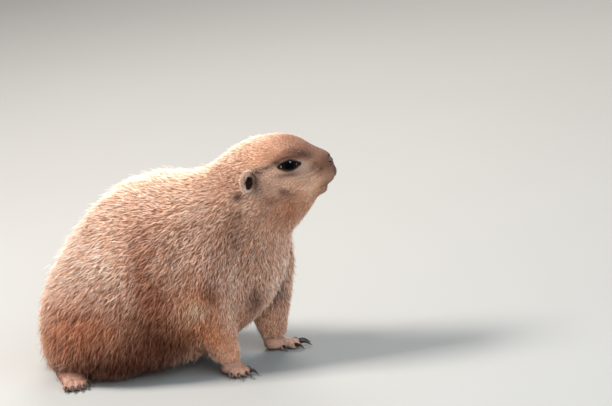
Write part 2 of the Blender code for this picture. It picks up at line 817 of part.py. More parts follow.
def finish_foot(name, flesh, claws, home):
    """Fuses the flesh of a foot, roots the claws in it and flattens the sole at the floor."""
    foot = blend_pieces(name, flesh, FOOT_VOXEL, 3, home)
    thin_out(foot, FOOT_TRIANGLES)
    for piece in claws:
        boolean(foot, piece, "UNION")
        remove_object(piece)
    keep_beyond(foot, (0.0, 0.0, 0.0), (0.0, 0.0, 1.0))
    return foot


def make_fore_foot(name, place, heading, inner, home, cutters):
    """A broad palm, five toes and long digging claws; inner is +1 where the thumb is on the left."""
    turn = Matrix.Rotation(heading, 3, "Z")
    centre = Vector((place[0], place[1], 0.0048))
    flesh = [
        ellipsoid("palm", centre, (0.0100, 0.0088, 0.0062), turn, cutters, 20, 12),
        ellipsoid("heel", centre + turn @ Vector((-0.003, 0.0, 0.003)), (0.0085, 0.0080, 0.0085), turn, cutters, 20, 12),
    ]
    claws = []
    for spread, length, radius, claw_length in FORE_TOES:
        bearing = heading + math.radians(spread) * inner
        root = centre + Matrix.Rotation(bearing, 3, "Z") @ Vector((0.0055, 0.0, 0.0))
        pieces, end = toe("toe", root, bearing, length, radius, cutters)
        flesh += pieces
        start = (end[0] - 0.001 * math.cos(bearing), end[1] - 0.001 * math.sin(bearing), end[2] + 0.0003)
        claws.append(claw("claw", start, bearing, claw_length, 0.00125, 0.0019, cutters))
    foot = finish_foot(name, flesh, claws, home)
    keep_beyond(foot, (0.0, 0.0, WRIST_LEVEL - GAP), (0.0, 0.0, -1.0))
    return tidy_mesh(foot)


def make_hind_foot(name, heel, heading, inner, home, cutters):
    """A long narrow sole from the heel, five toes and shorter claws."""
    turn = Matrix.Rotation(heading, 3, "Z")
    ahead = Vector((math.cos(heading), math.sin(heading), 0.0))
    origin = Vector((heel[0], heel[1], 0.0))
    rows = []
    for share, radius in ((0.0, 0.0058), (0.2, 0.0068), (0.5, 0.0070), (0.8, 0.0074), (1.0, 0.0072)):
        spot = origin + ahead * (0.006 + share * 0.020)
        rows.append((spot.x, spot.y, 0.0058 - 0.0008 * share, radius))
    flesh = [tube("sole", rows, cutters, 14, 16)]
    for share, radii in ((0.0, (0.0070, 0.0062, 0.0066)), (1.0, (0.0085, 0.0084, 0.0056))):
        spot = origin + ahead * (0.006 + share * 0.020)
        flesh.append(ellipsoid("ball", (spot.x, spot.y, 0.0052), radii, turn, cutters, 18, 12))
    claws = []
    for spread, length, radius, claw_length in HIND_TOES:
        bearing = heading + math.radians(spread) * inner
        side = turn @ Vector((0.0, math.radians(spread) * inner * 0.011, 0.0))
        root = origin + ahead * 0.027 + side
        pieces, end = toe("toe", root, bearing, length * 0.82, radius, cutters)
        flesh += pieces
        start = (end[0] - 0.001 * math.cos(bearing), end[1] - 0.001 * math.sin(bearing), end[2] + 0.0002)
        claws.append(claw("claw", start, bearing, claw_length, 0.0012, 0.0016, cutters))
    foot = finish_foot(name, flesh, claws, home)
    keep_beyond(foot, (0.0, 0.0, HIND_FOOT_TOP), (0.0, 0.0, -1.0))
    return tidy_mesh(foot)


def hind_pocket(foot, cutters):
    """The room for a hind foot under the coat: the foot's hull in plan, widened and made upright."""
    points = np.array([vert.co[:2] for vert in foot.data.vertices])
    middle = points.mean(axis=0)
    offsets = points - middle
    steps = np.linspace(0.0, 2 * math.pi, 24, endpoint=False)
    ring = []
    for angle in steps:
        ray = np.array([math.cos(angle), math.sin(angle)])
        reach = (offsets @ ray).max() + HIND_POCKET_MARGIN
        ring.append(middle + ray * reach)
    hull = bmesh.new()
    for level in (-0.01, HIND_FOOT_TOP + GAP):
        for x, y in ring:
            hull.verts.new((x, y, level))
    made = bmesh.ops.convex_hull(hull, input=hull.verts[:])
    loose = [item for item in made["geom_interior"] if isinstance(item, bmesh.types.BMVert)]
    bmesh.ops.delete(hull, geom=loose, context="VERTS")
    mesh = bpy.data.meshes.new("hind_pocket")
    hull.to_mesh(mesh)
    hull.free()
    pocket = bpy.data.objects.new("hind_pocket", mesh)
    cutters.objects.link(pocket)
    return pocket


def make_tail(torso, home, cutters):
    """The tail lies on the floor round the rump; its root meets a shallow round seat."""
    tail = tube("tail", TAIL_PATH, home, 40, 16)
    keep_beyond(tail, (0.0, 0.0, 0.0), (0.0, 0.0, 1.0))
    thin_out(tail, TAIL_TRIANGLES)
    flatten_onto(tail, (0.0, 0.0, 0.0), (0.0, 0.0, 1.0))
    root = Vector(TAIL_PATH[0][:3])
    after = Vector(TAIL_PATH[1][:3])
    ahead = (after - root).normalized()
    path = []
    for distance in (-GAP, 0.004, 0.010, 0.030):
        spot = root + ahead * distance
        path.append((*spot, TAIL_SOCKET_RADIUS))
    seat = tube("tail_seat", path, cutters, 4, 20)
    boolean(torso, seat, "DIFFERENCE")
    remove_object(seat)
    return tidy_mesh(tail)


def settle_on_origin(things):
    """Moves all meshes so that the model's box is centred on the origin and stands on the floor."""
    corners = np.array([vert.co[:] for thing in things for vert in thing.data.vertices])
    low, high = corners.min(axis=0), corners.max(axis=0)
    shift = Vector((-(low[0] + high[0]) / 2, -(low[1] + high[1]) / 2, -low[2]))
    for thing in things:
        thing.data.transform(Matrix.Translation(shift))
    return shift, high - low


def build():
    empty_scene()
    parts = new_collection(MODEL_NAME)
    cutters = new_collection("cutters")
    coat = finish_material("coat", COAT, 0.9)
    pale = finish_material("pale_coat", PALE_COAT, 0.9)
    dark = finish_material("dark_coat", DARK_COAT, 0.9)
    black = finish_material("eye_black", EYE_BLACK, 0.08)
    grey = finish_material("nose_skin", NOSE_GREY, 0.5)

    body = make_body(cutters)
    head = part_along(body, HEAD_CUT, None, "head", HEAD_TRIANGLES, parts)
    neck = part_along(body, NECK_CUT, HEAD_CUT, "neck", NECK_TRIANGLES, parts)
    torso = part_along(body, None, NECK_CUT, "torso", TRUNK_TRIANGLES, parts)
    remove_object(body)

    nodes = {head: coat, neck: coat, torso: coat}
    sides = ((-1, "right", RIGHT_FORE_SHIFT), (1, "left", LEFT_FORE_SHIFT))
    for hand, label, shift in sides:
        fore = part_limb(torso, f"front_leg_{label}", fore_limb_planes(hand, shift), parts, cutters)
        keep_beyond(fore, (0.0, 0.0, WRIST_LEVEL), (0.0, 0.0, 1.0))
        nodes[tidy_mesh(fore)] = coat
        hind = part_limb(torso, f"hind_leg_{label}", hind_limb_planes(hand), parts, cutters)
        nodes[hind] = coat

    fore_feet = (
        ("right", RIGHT_FORE_SHIFT, -1, RIGHT_FORE_HEADING),
        ("left", LEFT_FORE_SHIFT, 1, LEFT_FORE_HEADING),
    )
    for label, shift, hand, heading in fore_feet:
        place = (FORE_FOOT_X + shift[0], hand * FORE_TRACK)
        foot = make_fore_foot(f"front_foot_{label}", place, heading, -hand, parts, cutters)
        nodes[foot] = pale

    hind_feet = (
        ("right", RIGHT_HIND_HEEL, RIGHT_HIND_HEADING, 1),
        ("left", LEFT_HIND_HEEL, LEFT_HIND_HEADING, -1),
    )
    for label, heel, heading, inner in hind_feet:
        foot = make_hind_foot(f"hind_foot_{label}", heel, heading, inner, parts, cutters)
        pocket = hind_pocket(foot, cutters)
        leg = next(thing for thing in nodes if thing.name == f"hind_leg_{label}")
        boolean(torso, pocket, "DIFFERENCE")
        boolean(leg, pocket, "DIFFERENCE")
        remove_object(pocket)
        tidy_mesh(leg)
        nodes[foot] = pale

    tail = make_tail(torso, parts, cutters)
    nodes[tail] = dark
    tidy_mesh(torso)

    nodes[make_nose(head, parts, cutters)] = grey
    cut_mouth(head, cutters)
    for hand, label, _ in sides:
        nodes[make_ear(head, hand, label, parts, cutters)] = pale
    for eye in make_eyes(head, parts, cutters):
        nodes[eye] = black
    tidy_mesh(head)

    shift, size = settle_on_origin(list(nodes))
    total = 0
    for thing, material in nodes.items():
        thing.data.materials.clear()
        thing.data.materials.append(material)
        edit_mesh(thing, lambda bm: bmesh.ops.triangulate(bm, faces=bm.faces[:]))
        thing.data.shade_smooth()
        total += len(thing.data.polygons)
        print(thing.name, len(thing.data.polygons), "triangles")
    print("in all", total, "triangles; size", [round(float(v), 4) for v in size])
    print("moved by", [round(float(v), 5) for v in shift])


build()
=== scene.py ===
# %% [markdown]
# # A prairie dog, standing on all fours
# This lesson dresses a life-size solid model of a prairie dog for a museum case. The solids have the
# right size and pose, so every piece here is measured from them. Under the coat there is one smooth
# skin, and the coat itself is made of about 150,000 small mesh tufts, because only real tufts break
# the outline of the body and catch light along the back from every side.

# %% Load the solids
import math
import bmesh
import bpy
import numpy as np
from mathutils import Matrix, Vector
from mathutils.bvhtree import BVHTree


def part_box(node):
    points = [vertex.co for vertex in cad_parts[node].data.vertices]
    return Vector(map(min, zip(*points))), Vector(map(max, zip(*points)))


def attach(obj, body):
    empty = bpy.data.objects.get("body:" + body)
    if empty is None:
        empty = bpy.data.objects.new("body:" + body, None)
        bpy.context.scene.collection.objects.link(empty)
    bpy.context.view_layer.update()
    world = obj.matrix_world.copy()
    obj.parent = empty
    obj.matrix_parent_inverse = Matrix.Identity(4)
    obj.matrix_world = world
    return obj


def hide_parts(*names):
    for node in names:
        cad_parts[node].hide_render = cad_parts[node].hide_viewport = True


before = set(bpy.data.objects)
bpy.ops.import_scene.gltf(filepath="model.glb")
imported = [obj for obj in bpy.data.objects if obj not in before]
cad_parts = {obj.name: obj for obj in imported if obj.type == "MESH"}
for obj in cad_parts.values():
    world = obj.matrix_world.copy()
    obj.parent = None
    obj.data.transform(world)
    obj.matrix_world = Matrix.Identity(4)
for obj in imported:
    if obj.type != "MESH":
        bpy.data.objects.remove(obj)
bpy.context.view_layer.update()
MM = 0.001
SEED = 11

# %% [markdown]
# ## Where the head is
# The head is turned a little to its left, so its features are placed in the head's own directions:
# so far back from the tip of the nose, so far to its left, and so high above the floor. The nose pad
# is the one small solid on the middle line, so its centre tells how the solids were shifted.

# %% Head directions
HEAD_PIVOT_X = 0.074
HEAD_REACH = 0.0568
HEAD_YAW = math.radians(9.0)
NOSE_BACK, NOSE_HEIGHT = 0.0034, 0.1388
FORWARD = np.array([math.cos(HEAD_YAW), math.sin(HEAD_YAW), 0.0])
LEFTWARD = np.array([-math.sin(HEAD_YAW), math.cos(HEAD_YAW), 0.0])
UPWARD = np.array([0.0, 0.0, 1.0])
HEAD_AXES = np.stack([FORWARD, LEFTWARD, UPWARD])


def box_centre(node):
    """The middle of a solid's box at rest."""
    low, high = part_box(node)
    return np.array((low + high) / 2)


NOSE_TIP = box_centre("nose") + NOSE_BACK * FORWARD - NOSE_HEIGHT * UPWARD
SHIFT = NOSE_TIP - np.array([HEAD_PIVOT_X, 0.0, 0.0]) - HEAD_REACH * FORWARD
SHIFT[2] = 0.0


def head_point(back, side, height):
    """The nose tip's place on the floor plan, moved back and sideways along the head and lifted."""
    return NOSE_TIP - back * FORWARD + side * LEFTWARD + height * UPWARD


def head_places(points):
    """Each point as (back, side, height) in the head's directions."""
    local = (points - NOSE_TIP) @ HEAD_AXES.T
    return local * np.array([-1.0, 1.0, 1.0])


print("shift of the solids", SHIFT.round(5))

# %% [markdown]
# ## Making a mesh from arrays
# Every new piece is a grid of points: one parameter runs along the piece, the other round it. One
# helper puts arrays into a mesh, another closes a grid into a tube with a point at each end, and a
# third carries a ring along a path. They stand in for modelling by hand, and keep every size exact.

# %% Arrays into a mesh
def mesh_piece(name, points, triangles):
    """Puts an array of points and an array of triangles into a smooth-shaded mesh object."""
    mesh = bpy.data.meshes.new(name)
    mesh.vertices.add(len(points))
    mesh.vertices.foreach_set("co", np.ascontiguousarray(points, np.float32).ravel())
    mesh.loops.add(triangles.size)
    mesh.loops.foreach_set("vertex_index", np.ascontiguousarray(triangles, np.int32).ravel())
    mesh.polygons.add(len(triangles))
    mesh.polygons.foreach_set("loop_start", np.arange(0, triangles.size, 3, dtype=np.int32))
    mesh.polygons.foreach_set("use_smooth", np.ones(len(triangles), bool))
    mesh.update(calc_edges=True)
    mesh.validate()
    piece = bpy.data.objects.new(name, mesh)
    bpy.context.scene.collection.objects.link(piece)
    return piece


def wrapped_grid(rows, sides, turn_over=False, join_rows=False):
    """Triangles of a grid of rows that is closed round its sides, and also end to end if asked."""
    last = rows if join_rows else rows - 1
    row, side = np.meshgrid(np.arange(last), np.arange(sides), indexing="ij")
    below = (row + 1) % rows
    beside = (side + 1) % sides
    a, b = row * sides + side, row * sides + beside
    c, d = below * sides + beside, below * sides + side
    triangles = np.concatenate([np.stack(corners, -1).reshape(-1, 3) for corners in ((a, b, c), (a, c, d))])
    return triangles[:, ::-1] if turn_over else triangles


def closed_tube(grid):
    """A grid of rings (rows, sides, xyz) as points and triangles, each open end drawn to its middle."""
    rows, sides = grid.shape[:2]
    points = np.concatenate([grid.reshape(-1, 3), grid[0].mean(0)[None], grid[-1].mean(0)[None]])
    side = np.arange(sides)
    beside = (side + 1) % sides
    first = np.stack([np.full(sides, rows * sides), beside, side], -1)
    end = (rows - 1) * sides
    last = np.stack([np.full(sides, rows * sides + 1), end + side, end + beside], -1)
    return points, np.concatenate([wrapped_grid(rows, sides), first, last])


print("arrays can become meshes")

# %% Directions, paths and rings
def unit(vectors):
    """Each vector divided by its own length."""
    return vectors / np.maximum(np.linalg.norm(vectors, axis=-1, keepdims=True), 1e-12)


def facing_out(points, triangles):
    """The triangles, turned over if the volume that they enclose comes out negative."""
    corners = points[triangles]
    volume = np.einsum("ij,ij->i", corners[:, 0], np.cross(corners[:, 1], corners[:, 2])).sum()
    return triangles if volume > 0 else triangles[:, ::-1]


def smooth_path(places, count):
    """A curve through the places: each stretch is a cubic whose slope at an end is half the step between
    that end's two neighbours."""
    places = np.asarray(places, float)
    padded = np.concatenate([2 * places[:1] - places[1:2], places, 2 * places[-1:] - places[-2:-1]])
    at = np.linspace(0, len(places) - 1 - 1e-9, count)
    start = at.astype(int)
    t = (at - start)[:, None]
    p0, p1, p2, p3 = (padded[start + k] for k in range(4))
    square = 2 * p0 - 5 * p1 + 4 * p2 - p3
    cube = 3 * p1 - p0 - 3 * p2 + p3
    return 0.5 * (2 * p1 + (p2 - p0) * t + square * t**2 + cube * t**3)


def tube_rings(path, radii, sides, flatten=1.0, up=(0.0, 0.0, 1.0)):
    """Rings square to a path: point = path + radius * (cos a * across + flatten * sin a * over)."""
    ahead = unit(np.gradient(path, axis=0))
    across = unit(np.cross(ahead, np.asarray(up, float)))
    over = np.cross(across, ahead)
    angle = np.linspace(0, 2 * math.pi, sides, endpoint=False)[None, :, None]
    radii = np.broadcast_to(radii, len(path))[:, None, None]
    ring = np.cos(angle) * across[:, None] + flatten * np.sin(angle) * over[:, None]
    return path[:, None] + radii * ring


def globe(latitude, longitude):
    """Directions from a ball's middle: (sin lat, cos lat * cos long, cos lat * sin long)."""
    flat = np.cos(latitude)
    ways = np.broadcast_arrays(np.sin(latitude), flat * np.cos(longitude), flat * np.sin(longitude))
    return np.stack(ways, -1)


def ball_rings(centre, radii, turn=None, rows=16, sides=24):
    """An egg shape as rings: latitude runs along its own X axis, longitude round it."""
    latitude = np.linspace(-0.98, 0.98, rows)[:, None] * math.pi / 2
    angle = np.linspace(0, 2 * math.pi, sides, endpoint=False)[None]
    local = globe(latitude, angle) * np.asarray(radii, float)
    turn = np.eye(3) if turn is None else turn
    return np.asarray(centre, float) + local @ turn


def joined(shapes):
    """Several closed grids as one list of points and one list of triangles."""
    points, triangles, count = [], [], 0
    for grid in shapes:
        spots, corners = closed_tube(grid)
        corners = facing_out(spots - spots.mean(0), corners)
        points.append(spots)
        triangles.append(corners + count)
        count += len(spots)
    return np.concatenate(points), np.concatenate(triangles)


print("mesh helpers ready")

# %% [markdown]
# ## Helpers for surfaces that exist already
# The skin and the feet are fused from simpler closed shapes with a voxel Remesh, as a sculptor lays
# clay over an armature. These helpers read a mesh back as arrays, so that all later moves are numpy.

# %% Remesh helpers
def read_mesh(piece):
    """Points, point normals and triangles of an object's mesh, as arrays."""
    mesh = piece.data
    mesh.calc_loop_triangles()
    points = np.empty(len(mesh.vertices) * 3, np.float32)
    mesh.vertices.foreach_get("co", points)
    normals = np.empty(len(mesh.vertices) * 3, np.float32)
    mesh.vertices.foreach_get("normal", normals)
    triangles = np.empty(len(mesh.loop_triangles) * 3, np.int32)
    mesh.loop_triangles.foreach_get("vertices", triangles)
    points, normals = (array.reshape(-1, 3).astype(float) for array in (points, normals))
    return points, normals, triangles.reshape(-1, 3)


def write_points(piece, points):
    """Puts moved points back into a mesh."""
    piece.data.vertices.foreach_set("co", np.ascontiguousarray(points, np.float32).ravel())
    piece.data.update()


def fused(piece, voxel, softening):
    """The union of closed, overlapping shapes in one mesh, softened where they meet, and made final."""
    remesh = piece.modifiers.new("fuse", "REMESH")
    remesh.mode = "VOXEL"
    remesh.voxel_size = voxel
    remesh.use_smooth_shade = True
    soften = piece.modifiers.new("soften", "SMOOTH")
    soften.factor = 0.5
    soften.iterations = softening
    graph = bpy.context.evaluated_depsgraph_get()
    finished = bpy.data.meshes.new_from_object(piece.evaluated_get(graph))
    piece.modifiers.clear()
    piece.data = finished
    return piece


def merged_copy(nodes, swell):
    """Copies of solids with their doubled points merged, each swelled a little to close its joint gap."""
    points, triangles, count = [], [], 0
    for node in nodes:
        bm = bmesh.new()
        bm.from_mesh(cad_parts[node].data)
        bmesh.ops.remove_doubles(bm, verts=bm.verts[:], dist=1e-6)
        mesh = bpy.data.meshes.new("copy")
        bm.to_mesh(mesh)
        bm.free()
        copy = bpy.data.objects.new("copy", mesh)
        spots, normals, corners = read_mesh(copy)
        points.append(spots + normals * swell)
        triangles.append(corners + count)
        count += len(spots)
        bpy.data.objects.remove(copy)
        bpy.data.meshes.remove(mesh)
    return np.concatenate(points), np.concatenate(triangles)


def ray_tree(points, triangles):
    """A surface as a search tree that rays can be cast at."""
    return BVHTree.FromPolygons([tuple(p) for p in points], [tuple(map(int, t)) for t in triangles])


def hit(tree, origin, direction):
    """Where a ray from outside first meets a surface, and the outward normal there."""
    place, normal, _, _ = tree.ray_cast(Vector(origin), Vector(direction).normalized())
    return np.array(place), np.array(normal)


print("remesh helpers ready")

# %% [markdown]
# ## Which way the hair lies
# On the real animal the hair runs back from the nose, over the crown, down the neck and flanks and
# down each leg. Its length grows from one millimetre on the muzzle to eleven on the haunch. A groomer
# would comb guide hairs. Here each guide is a row: a place in millimetres, a direction, a length and
# how far the hair stands up, and every other point blends the guides near it.

# %% Guide hairs
# back, side, height in the head in mm; direction forward, sideways, up; length in mm; rise in degrees
HEAD_GUIDES = (
    (8, 3, 146, -0.90, 0.10, 0.35, 1.2, 12), (18, 4, 151, -0.95, 0.05, 0.30, 1.9, 14),
    (32, 0, 159, -1.00, 0.00, 0.10, 3.2, 21), (22, 12, 150, -0.90, 0.30, 0.25, 1.7, 16),
    (50, 0, 161, -1.00, 0.00, -0.05, 4.6, 26), (48, 16, 156, -1.00, 0.15, -0.15, 4.2, 25),
    (72, 0, 155, -1.00, 0.00, -0.30, 6.2, 31), (6, 9, 136, -0.90, 0.35, -0.05, 1.1, 12),
    (14, 13, 136, -0.93, 0.30, -0.10, 1.4, 12), (8, 10, 128, -0.80, 0.30, -0.50, 1.3, 12),
    (20, 16, 142, -0.95, 0.25, 0.10, 1.3, 12), (28, 20, 134, -0.95, 0.20, -0.25, 2.0, 14),
    (40, 22, 144, -1.00, 0.10, 0.00, 2.6, 16), (29, 14, 152, -0.95, 0.15, 0.20, 2.3, 16),
    (36, 24, 126, -0.93, 0.15, -0.35, 3.2, 21), (50, 28, 124, -0.85, 0.10, -0.50, 4.6, 29),
    (47, 25, 137, -0.98, 0.10, -0.10, 2.8, 18), (66, 28, 138, -0.90, 0.00, -0.40, 5.2, 31),
    (56, 23, 147, -0.97, 0.10, -0.20, 4.2, 28), (58, 30, 124, -0.80, 0.05, -0.60, 5.2, 31),
    (12, 0, 119, -0.85, 0.00, -0.50, 1.7, 16), (26, 0, 114, -0.80, 0.00, -0.60, 3.6, 23),
    (34, 18, 112, -0.75, 0.10, -0.65, 4.2, 28), (45, 0, 95, -0.40, 0.00, -0.90, 6.0, 31),
)
# x, side, height in mm; direction forward, sideways, up; length in mm; rise in degrees
BODY_GUIDES = (
    (55, 30, 115, -0.75, 0.05, -0.66, 8.0, 28), (62, 30, 90, -0.45, 0.00, -0.90, 8.0, 28),
    (83, 0, 75, -0.20, 0.00, -0.98, 8.0, 30), (75, 20, 55, -0.25, 0.00, -0.97, 8.0, 30),
    (60, 0, 38, -0.60, 0.00, -0.80, 7.0, 30), (45, 38, 95, -0.70, 0.00, -0.72, 8.5, 28),
    (30, 45, 80, -0.62, 0.00, -0.78, 9.0, 27), (35, 0, 143, -1.00, 0.00, -0.02, 7.6, 27),
    (10, 0, 140, -1.00, 0.00, -0.05, 7.8, 27), (-20, 0, 136, -1.00, 0.00, -0.20, 8.2, 27),
    (-50, 0, 116, -0.82, 0.00, -0.57, 9.0, 27), (-80, 0, 80, -0.50, 0.00, -0.85, 10.0, 27),
    (-98, 0, 45, -0.12, 0.00, -1.00, 10.5, 28), (10, 30, 125, -0.95, 0.05, -0.30, 8.0, 27),
    (-25, 35, 115, -0.88, 0.05, -0.48, 8.6, 27), (8, 49, 95, -0.84, 0.00, -0.54, 9.0, 27),
    (-30, 52, 85, -0.75, 0.00, -0.65, 9.8, 27), (-60, 42, 80, -0.62, 0.00, -0.78, 10.2, 27),
    (5, 52, 60, -0.70, 0.00, -0.72, 10.0, 27), (-20, 56, 50, -0.55, 0.00, -0.83, 11.0, 27),
    (0, 52, 30, -0.50, 0.00, -0.86, 11.0, 28), (-40, 56, 50, -0.50, 0.00, -0.86, 11.0, 27),
    (-42, 54, 20, -0.42, 0.00, -0.90, 10.5, 30), (-75, 45, 45, -0.30, 0.00, -0.95, 10.8, 27),
    (-92, 30, 40, -0.18, 0.00, -0.98, 10.8, 27), (-92, 28, 15, -0.10, 0.00, -0.99, 9.0, 30),
    (0, 0, 4, -1.00, 0.00, 0.00, 5.0, 22), (-50, 0, 3, -1.00, 0.00, 0.00, 5.0, 22),
    (35, 0, 20, -0.90, 0.00, -0.40, 6.5, 28), (40, 45, 60, -0.32, 0.00, -0.94, 7.0, 28),
    (46, 38, 42, -0.16, 0.00, -0.98, 5.5, 25), (20, 44, 42, -0.55, 0.00, -0.83, 11.0, 34),
    (24, 38, 26, -0.62, 0.00, -0.78, 10.5, 38), (36, 36, 22, -0.20, 0.00, -0.98, 4.2, 25),
    (52, 26, 24, -0.02, 0.00, -1.00, 3.4, 20), (44, 24, 12, 0.05, 0.00, -1.00, 2.4, 15),
    (62, 15, 45, -0.15, 0.00, -0.99, 5.0, 25), (74, 40, 30, -0.06, 0.00, -1.00, 4.0, 25),
    (64, 40, 14, 0.05, 0.00, -1.00, 2.4, 15),
)
# the tail's middle line where it lies round the left side of the rump: x, side, height in mm
TAIL_PATH = (
    (-95, 6, 14.5), (-100, 11, 11), (-103.5, 23, 7.6), (-103, 38, 7.4), (-96.5, 52, 7.4),
    (-85.5, 62.5, 7.2), (-74, 68, 6.6), (-64, 71.2, 5.8), (-56, 72.8, 4.6), (-51, 73.5, 3.4),
    (-49, 73.8, 2.6),
)
TAIL_LINE = smooth_path(MM * np.array(TAIL_PATH) + SHIFT, 60)
TAIL_AHEAD = unit(np.gradient(TAIL_LINE, axis=0))
tail_steps = np.linalg.norm(np.diff(TAIL_LINE, axis=0), axis=1)
print("the tail is", round(float(tail_steps.sum()), 4), "m long")

# %% Guides in both hands
def guide_arrays():
    """Both tables in the frame of the solids, mirrored to the other side: places, directions, sizes."""
    places, ways, sizes = [], [], []
    for hand in (1.0, -1.0):
        for back, side, height, ahead, aside, up, length, rise in HEAD_GUIDES:
            places.append(head_point(back * MM, hand * side * MM, height * MM))
            ways.append(ahead * FORWARD + hand * aside * LEFTWARD + up * UPWARD)
            sizes.append((length * MM, math.radians(rise)))
        for x, side, height, ahead, aside, up, length, rise in BODY_GUIDES:
            places.append(SHIFT + MM * np.array((x, hand * side, height)))
            ways.append(np.array((ahead, hand * aside, up)))
            sizes.append((length * MM, math.radians(rise)))
    return np.array(places), unit(np.array(ways)), np.array(sizes)


GUIDE_PLACES, GUIDE_WAYS, GUIDE_SIZES = guide_arrays()
print("guide hairs:", len(GUIDE_PLACES))

# %% Blending the guides
TAIL_HAIR_LIE = (0.0075, math.radians(24))


def tail_share(points):
    """The nearest of the tail line's 60 places to each point, and whether the point is on the tail."""
    gap = np.linalg.norm(points[:, None] - TAIL_LINE[None], axis=-1)
    nearest = gap.argmin(1)
    on_tail = (gap.min(1) < 0.0105) & (points[:, 2] < 0.021) & (nearest > 7)
    return nearest, on_tail


def hair_lie(points):
    """Direction, length and rise at each point: guides weighted by 1 / (distance + 3 mm) to the 4th power.
    Hair turns outwards and shortens round the eyes, and grows longer just in front of the ears."""
    way = np.empty((len(points), 3))
    size = np.empty((len(points), 2))
    for start in range(0, len(points), 20000):
        spots = points[start : start + 20000]
        gap = np.linalg.norm(spots[:, None] - GUIDE_PLACES[None], axis=-1) + 0.003
        weight = gap**-4
        weight /= weight.sum(1, keepdims=True)
        way[start : start + 20000] = weight @ GUIDE_WAYS
        size[start : start + 20000] = weight @ GUIDE_SIZES
    for hand in (-1.0, 1.0):
        eye = head_point(0.0286, hand * 0.0165, 0.1424)
        away = points - eye
        gap = np.linalg.norm(away, axis=1)
        near = np.clip(1.9 - gap / 0.0075, 0, 0.85)[:, None]
        way = way * (1 - near) + unit(away) * near
        size[:, 0] *= 0.5 + 0.5 * np.clip((gap - 0.006) / 0.008, 0, 1)
        ear = head_point(EAR_BACK - 0.0050, hand * 0.0275, EAR_HEIGHT)
        size[:, 0] *= 1 + 0.7 * np.exp(-(((points - ear) ** 2).sum(1) / 0.0052**2))
    nearest, on_tail = tail_share(points)
    way[on_tail] = TAIL_AHEAD[nearest[on_tail]]
    size[on_tail] = TAIL_HAIR_LIE
    return way, size[:, 0], size[:, 1]


print("hair on the tail:", TAIL_HAIR_LIE[0], "m long")

# %% [markdown]
# ## Eyes and ears: their places
# Each eyeball sits where its solid sits and looks outwards, a little forwards and a little up. The
# ear's own directions come from the head's surface round it, found by casting rays at a merged copy
# of the head solid, and from the way a prairie dog's low ear leans.

# %% Eye and ear frames
EYE_RADIUS = 0.0060
SLIT_LENGTH, SLIT_HEIGHT = 0.0128, 0.0078
EAR_BACK, EAR_HEIGHT = 0.0558, 0.1356
EAR_LENGTH, EAR_WIDTH = 0.0136, 0.0098
SIDES = (("right", -1.0), ("left", 1.0))

HEAD_TREE = ray_tree(*merged_copy(["head"], 0.0))


def eye_frame(label, hand):
    """The eyeball's centre and three axes: along the slit (towards the nose), up it, and out."""
    out = unit(0.30 * FORWARD + hand * 0.94 * LEFTWARD + 0.16 * UPWARD)
    along = unit(np.cross(UPWARD, out)) * -hand
    up = unit(np.cross(out, along)) * -hand
    return box_centre(f"eye_{label}"), np.stack([along, up, out])


def ear_frame(hand):
    """The ear's root and axes: forwards, up and out; out is half the head's normal, half the ear's lean."""
    places, normals = [], []
    for turn in np.linspace(0, 2 * math.pi, 10, endpoint=False):
        aim = head_point(EAR_BACK + 0.0085 * math.cos(turn), 0.0, EAR_HEIGHT + 0.0095 * math.sin(turn))
        place, normal = hit(HEAD_TREE, aim + hand * 0.06 * LEFTWARD, -hand * LEFTWARD)
        places.append(place)
        normals.append(normal)
    lean = unit(0.30 * FORWARD + hand * 0.92 * LEFTWARD + 0.16 * UPWARD)
    out = unit(unit(np.mean(normals, 0)) + lean)
    up = np.array([0.12, 0.0, 1.0]) - out * out[2]
    up = unit(up - out * (up @ out))
    fore = np.cross(up, out)
    fore = fore if fore[0] > 0 else -fore
    return np.mean(places, 0) + out * 0.0006, np.stack([fore, up, out])


EYES = {label: eye_frame(label, hand) for label, hand in SIDES}
EARS = {label: ear_frame(hand) for label, hand in SIDES}
for label, _ in SIDES:
    print(label, "eye", EYES[label][0].round(4), "ear", EARS[label][0].round(4))

# %% [markdown]
# ## The markings and painted shade
# The coat is warm buff above, cinnamon on the flanks and rump, pale on the chest and round the
# muzzle, with dark marks at the brow, before and behind the eye, and on the cheek. Shade is painted
# the same way: dark low on the flanks, behind the elbows, under the belly, between the fore legs and
# under each brow. A museum painter would airbrush them. Here each mark is a soft egg-shaped cloud of
# colour: strength * exp(-d squared), with d the distance in its own radii. A hair's tip lies some
# millimetres behind its root, so a mark is set that much ahead. Skin and hairs ask the same function,
# so they always agree.

# %% Markings and painted shade of the body and the head
def paint(red, green, blue):
    """A paint-chart colour (0 to 255) as the linear light that shaders work in."""
    level = np.array([red, green, blue]) / 255
    return np.where(level <= 0.04045, level / 12.92, ((level + 0.055) / 1.055) ** 2.4)


BASE_COAT = paint(214, 184, 164)
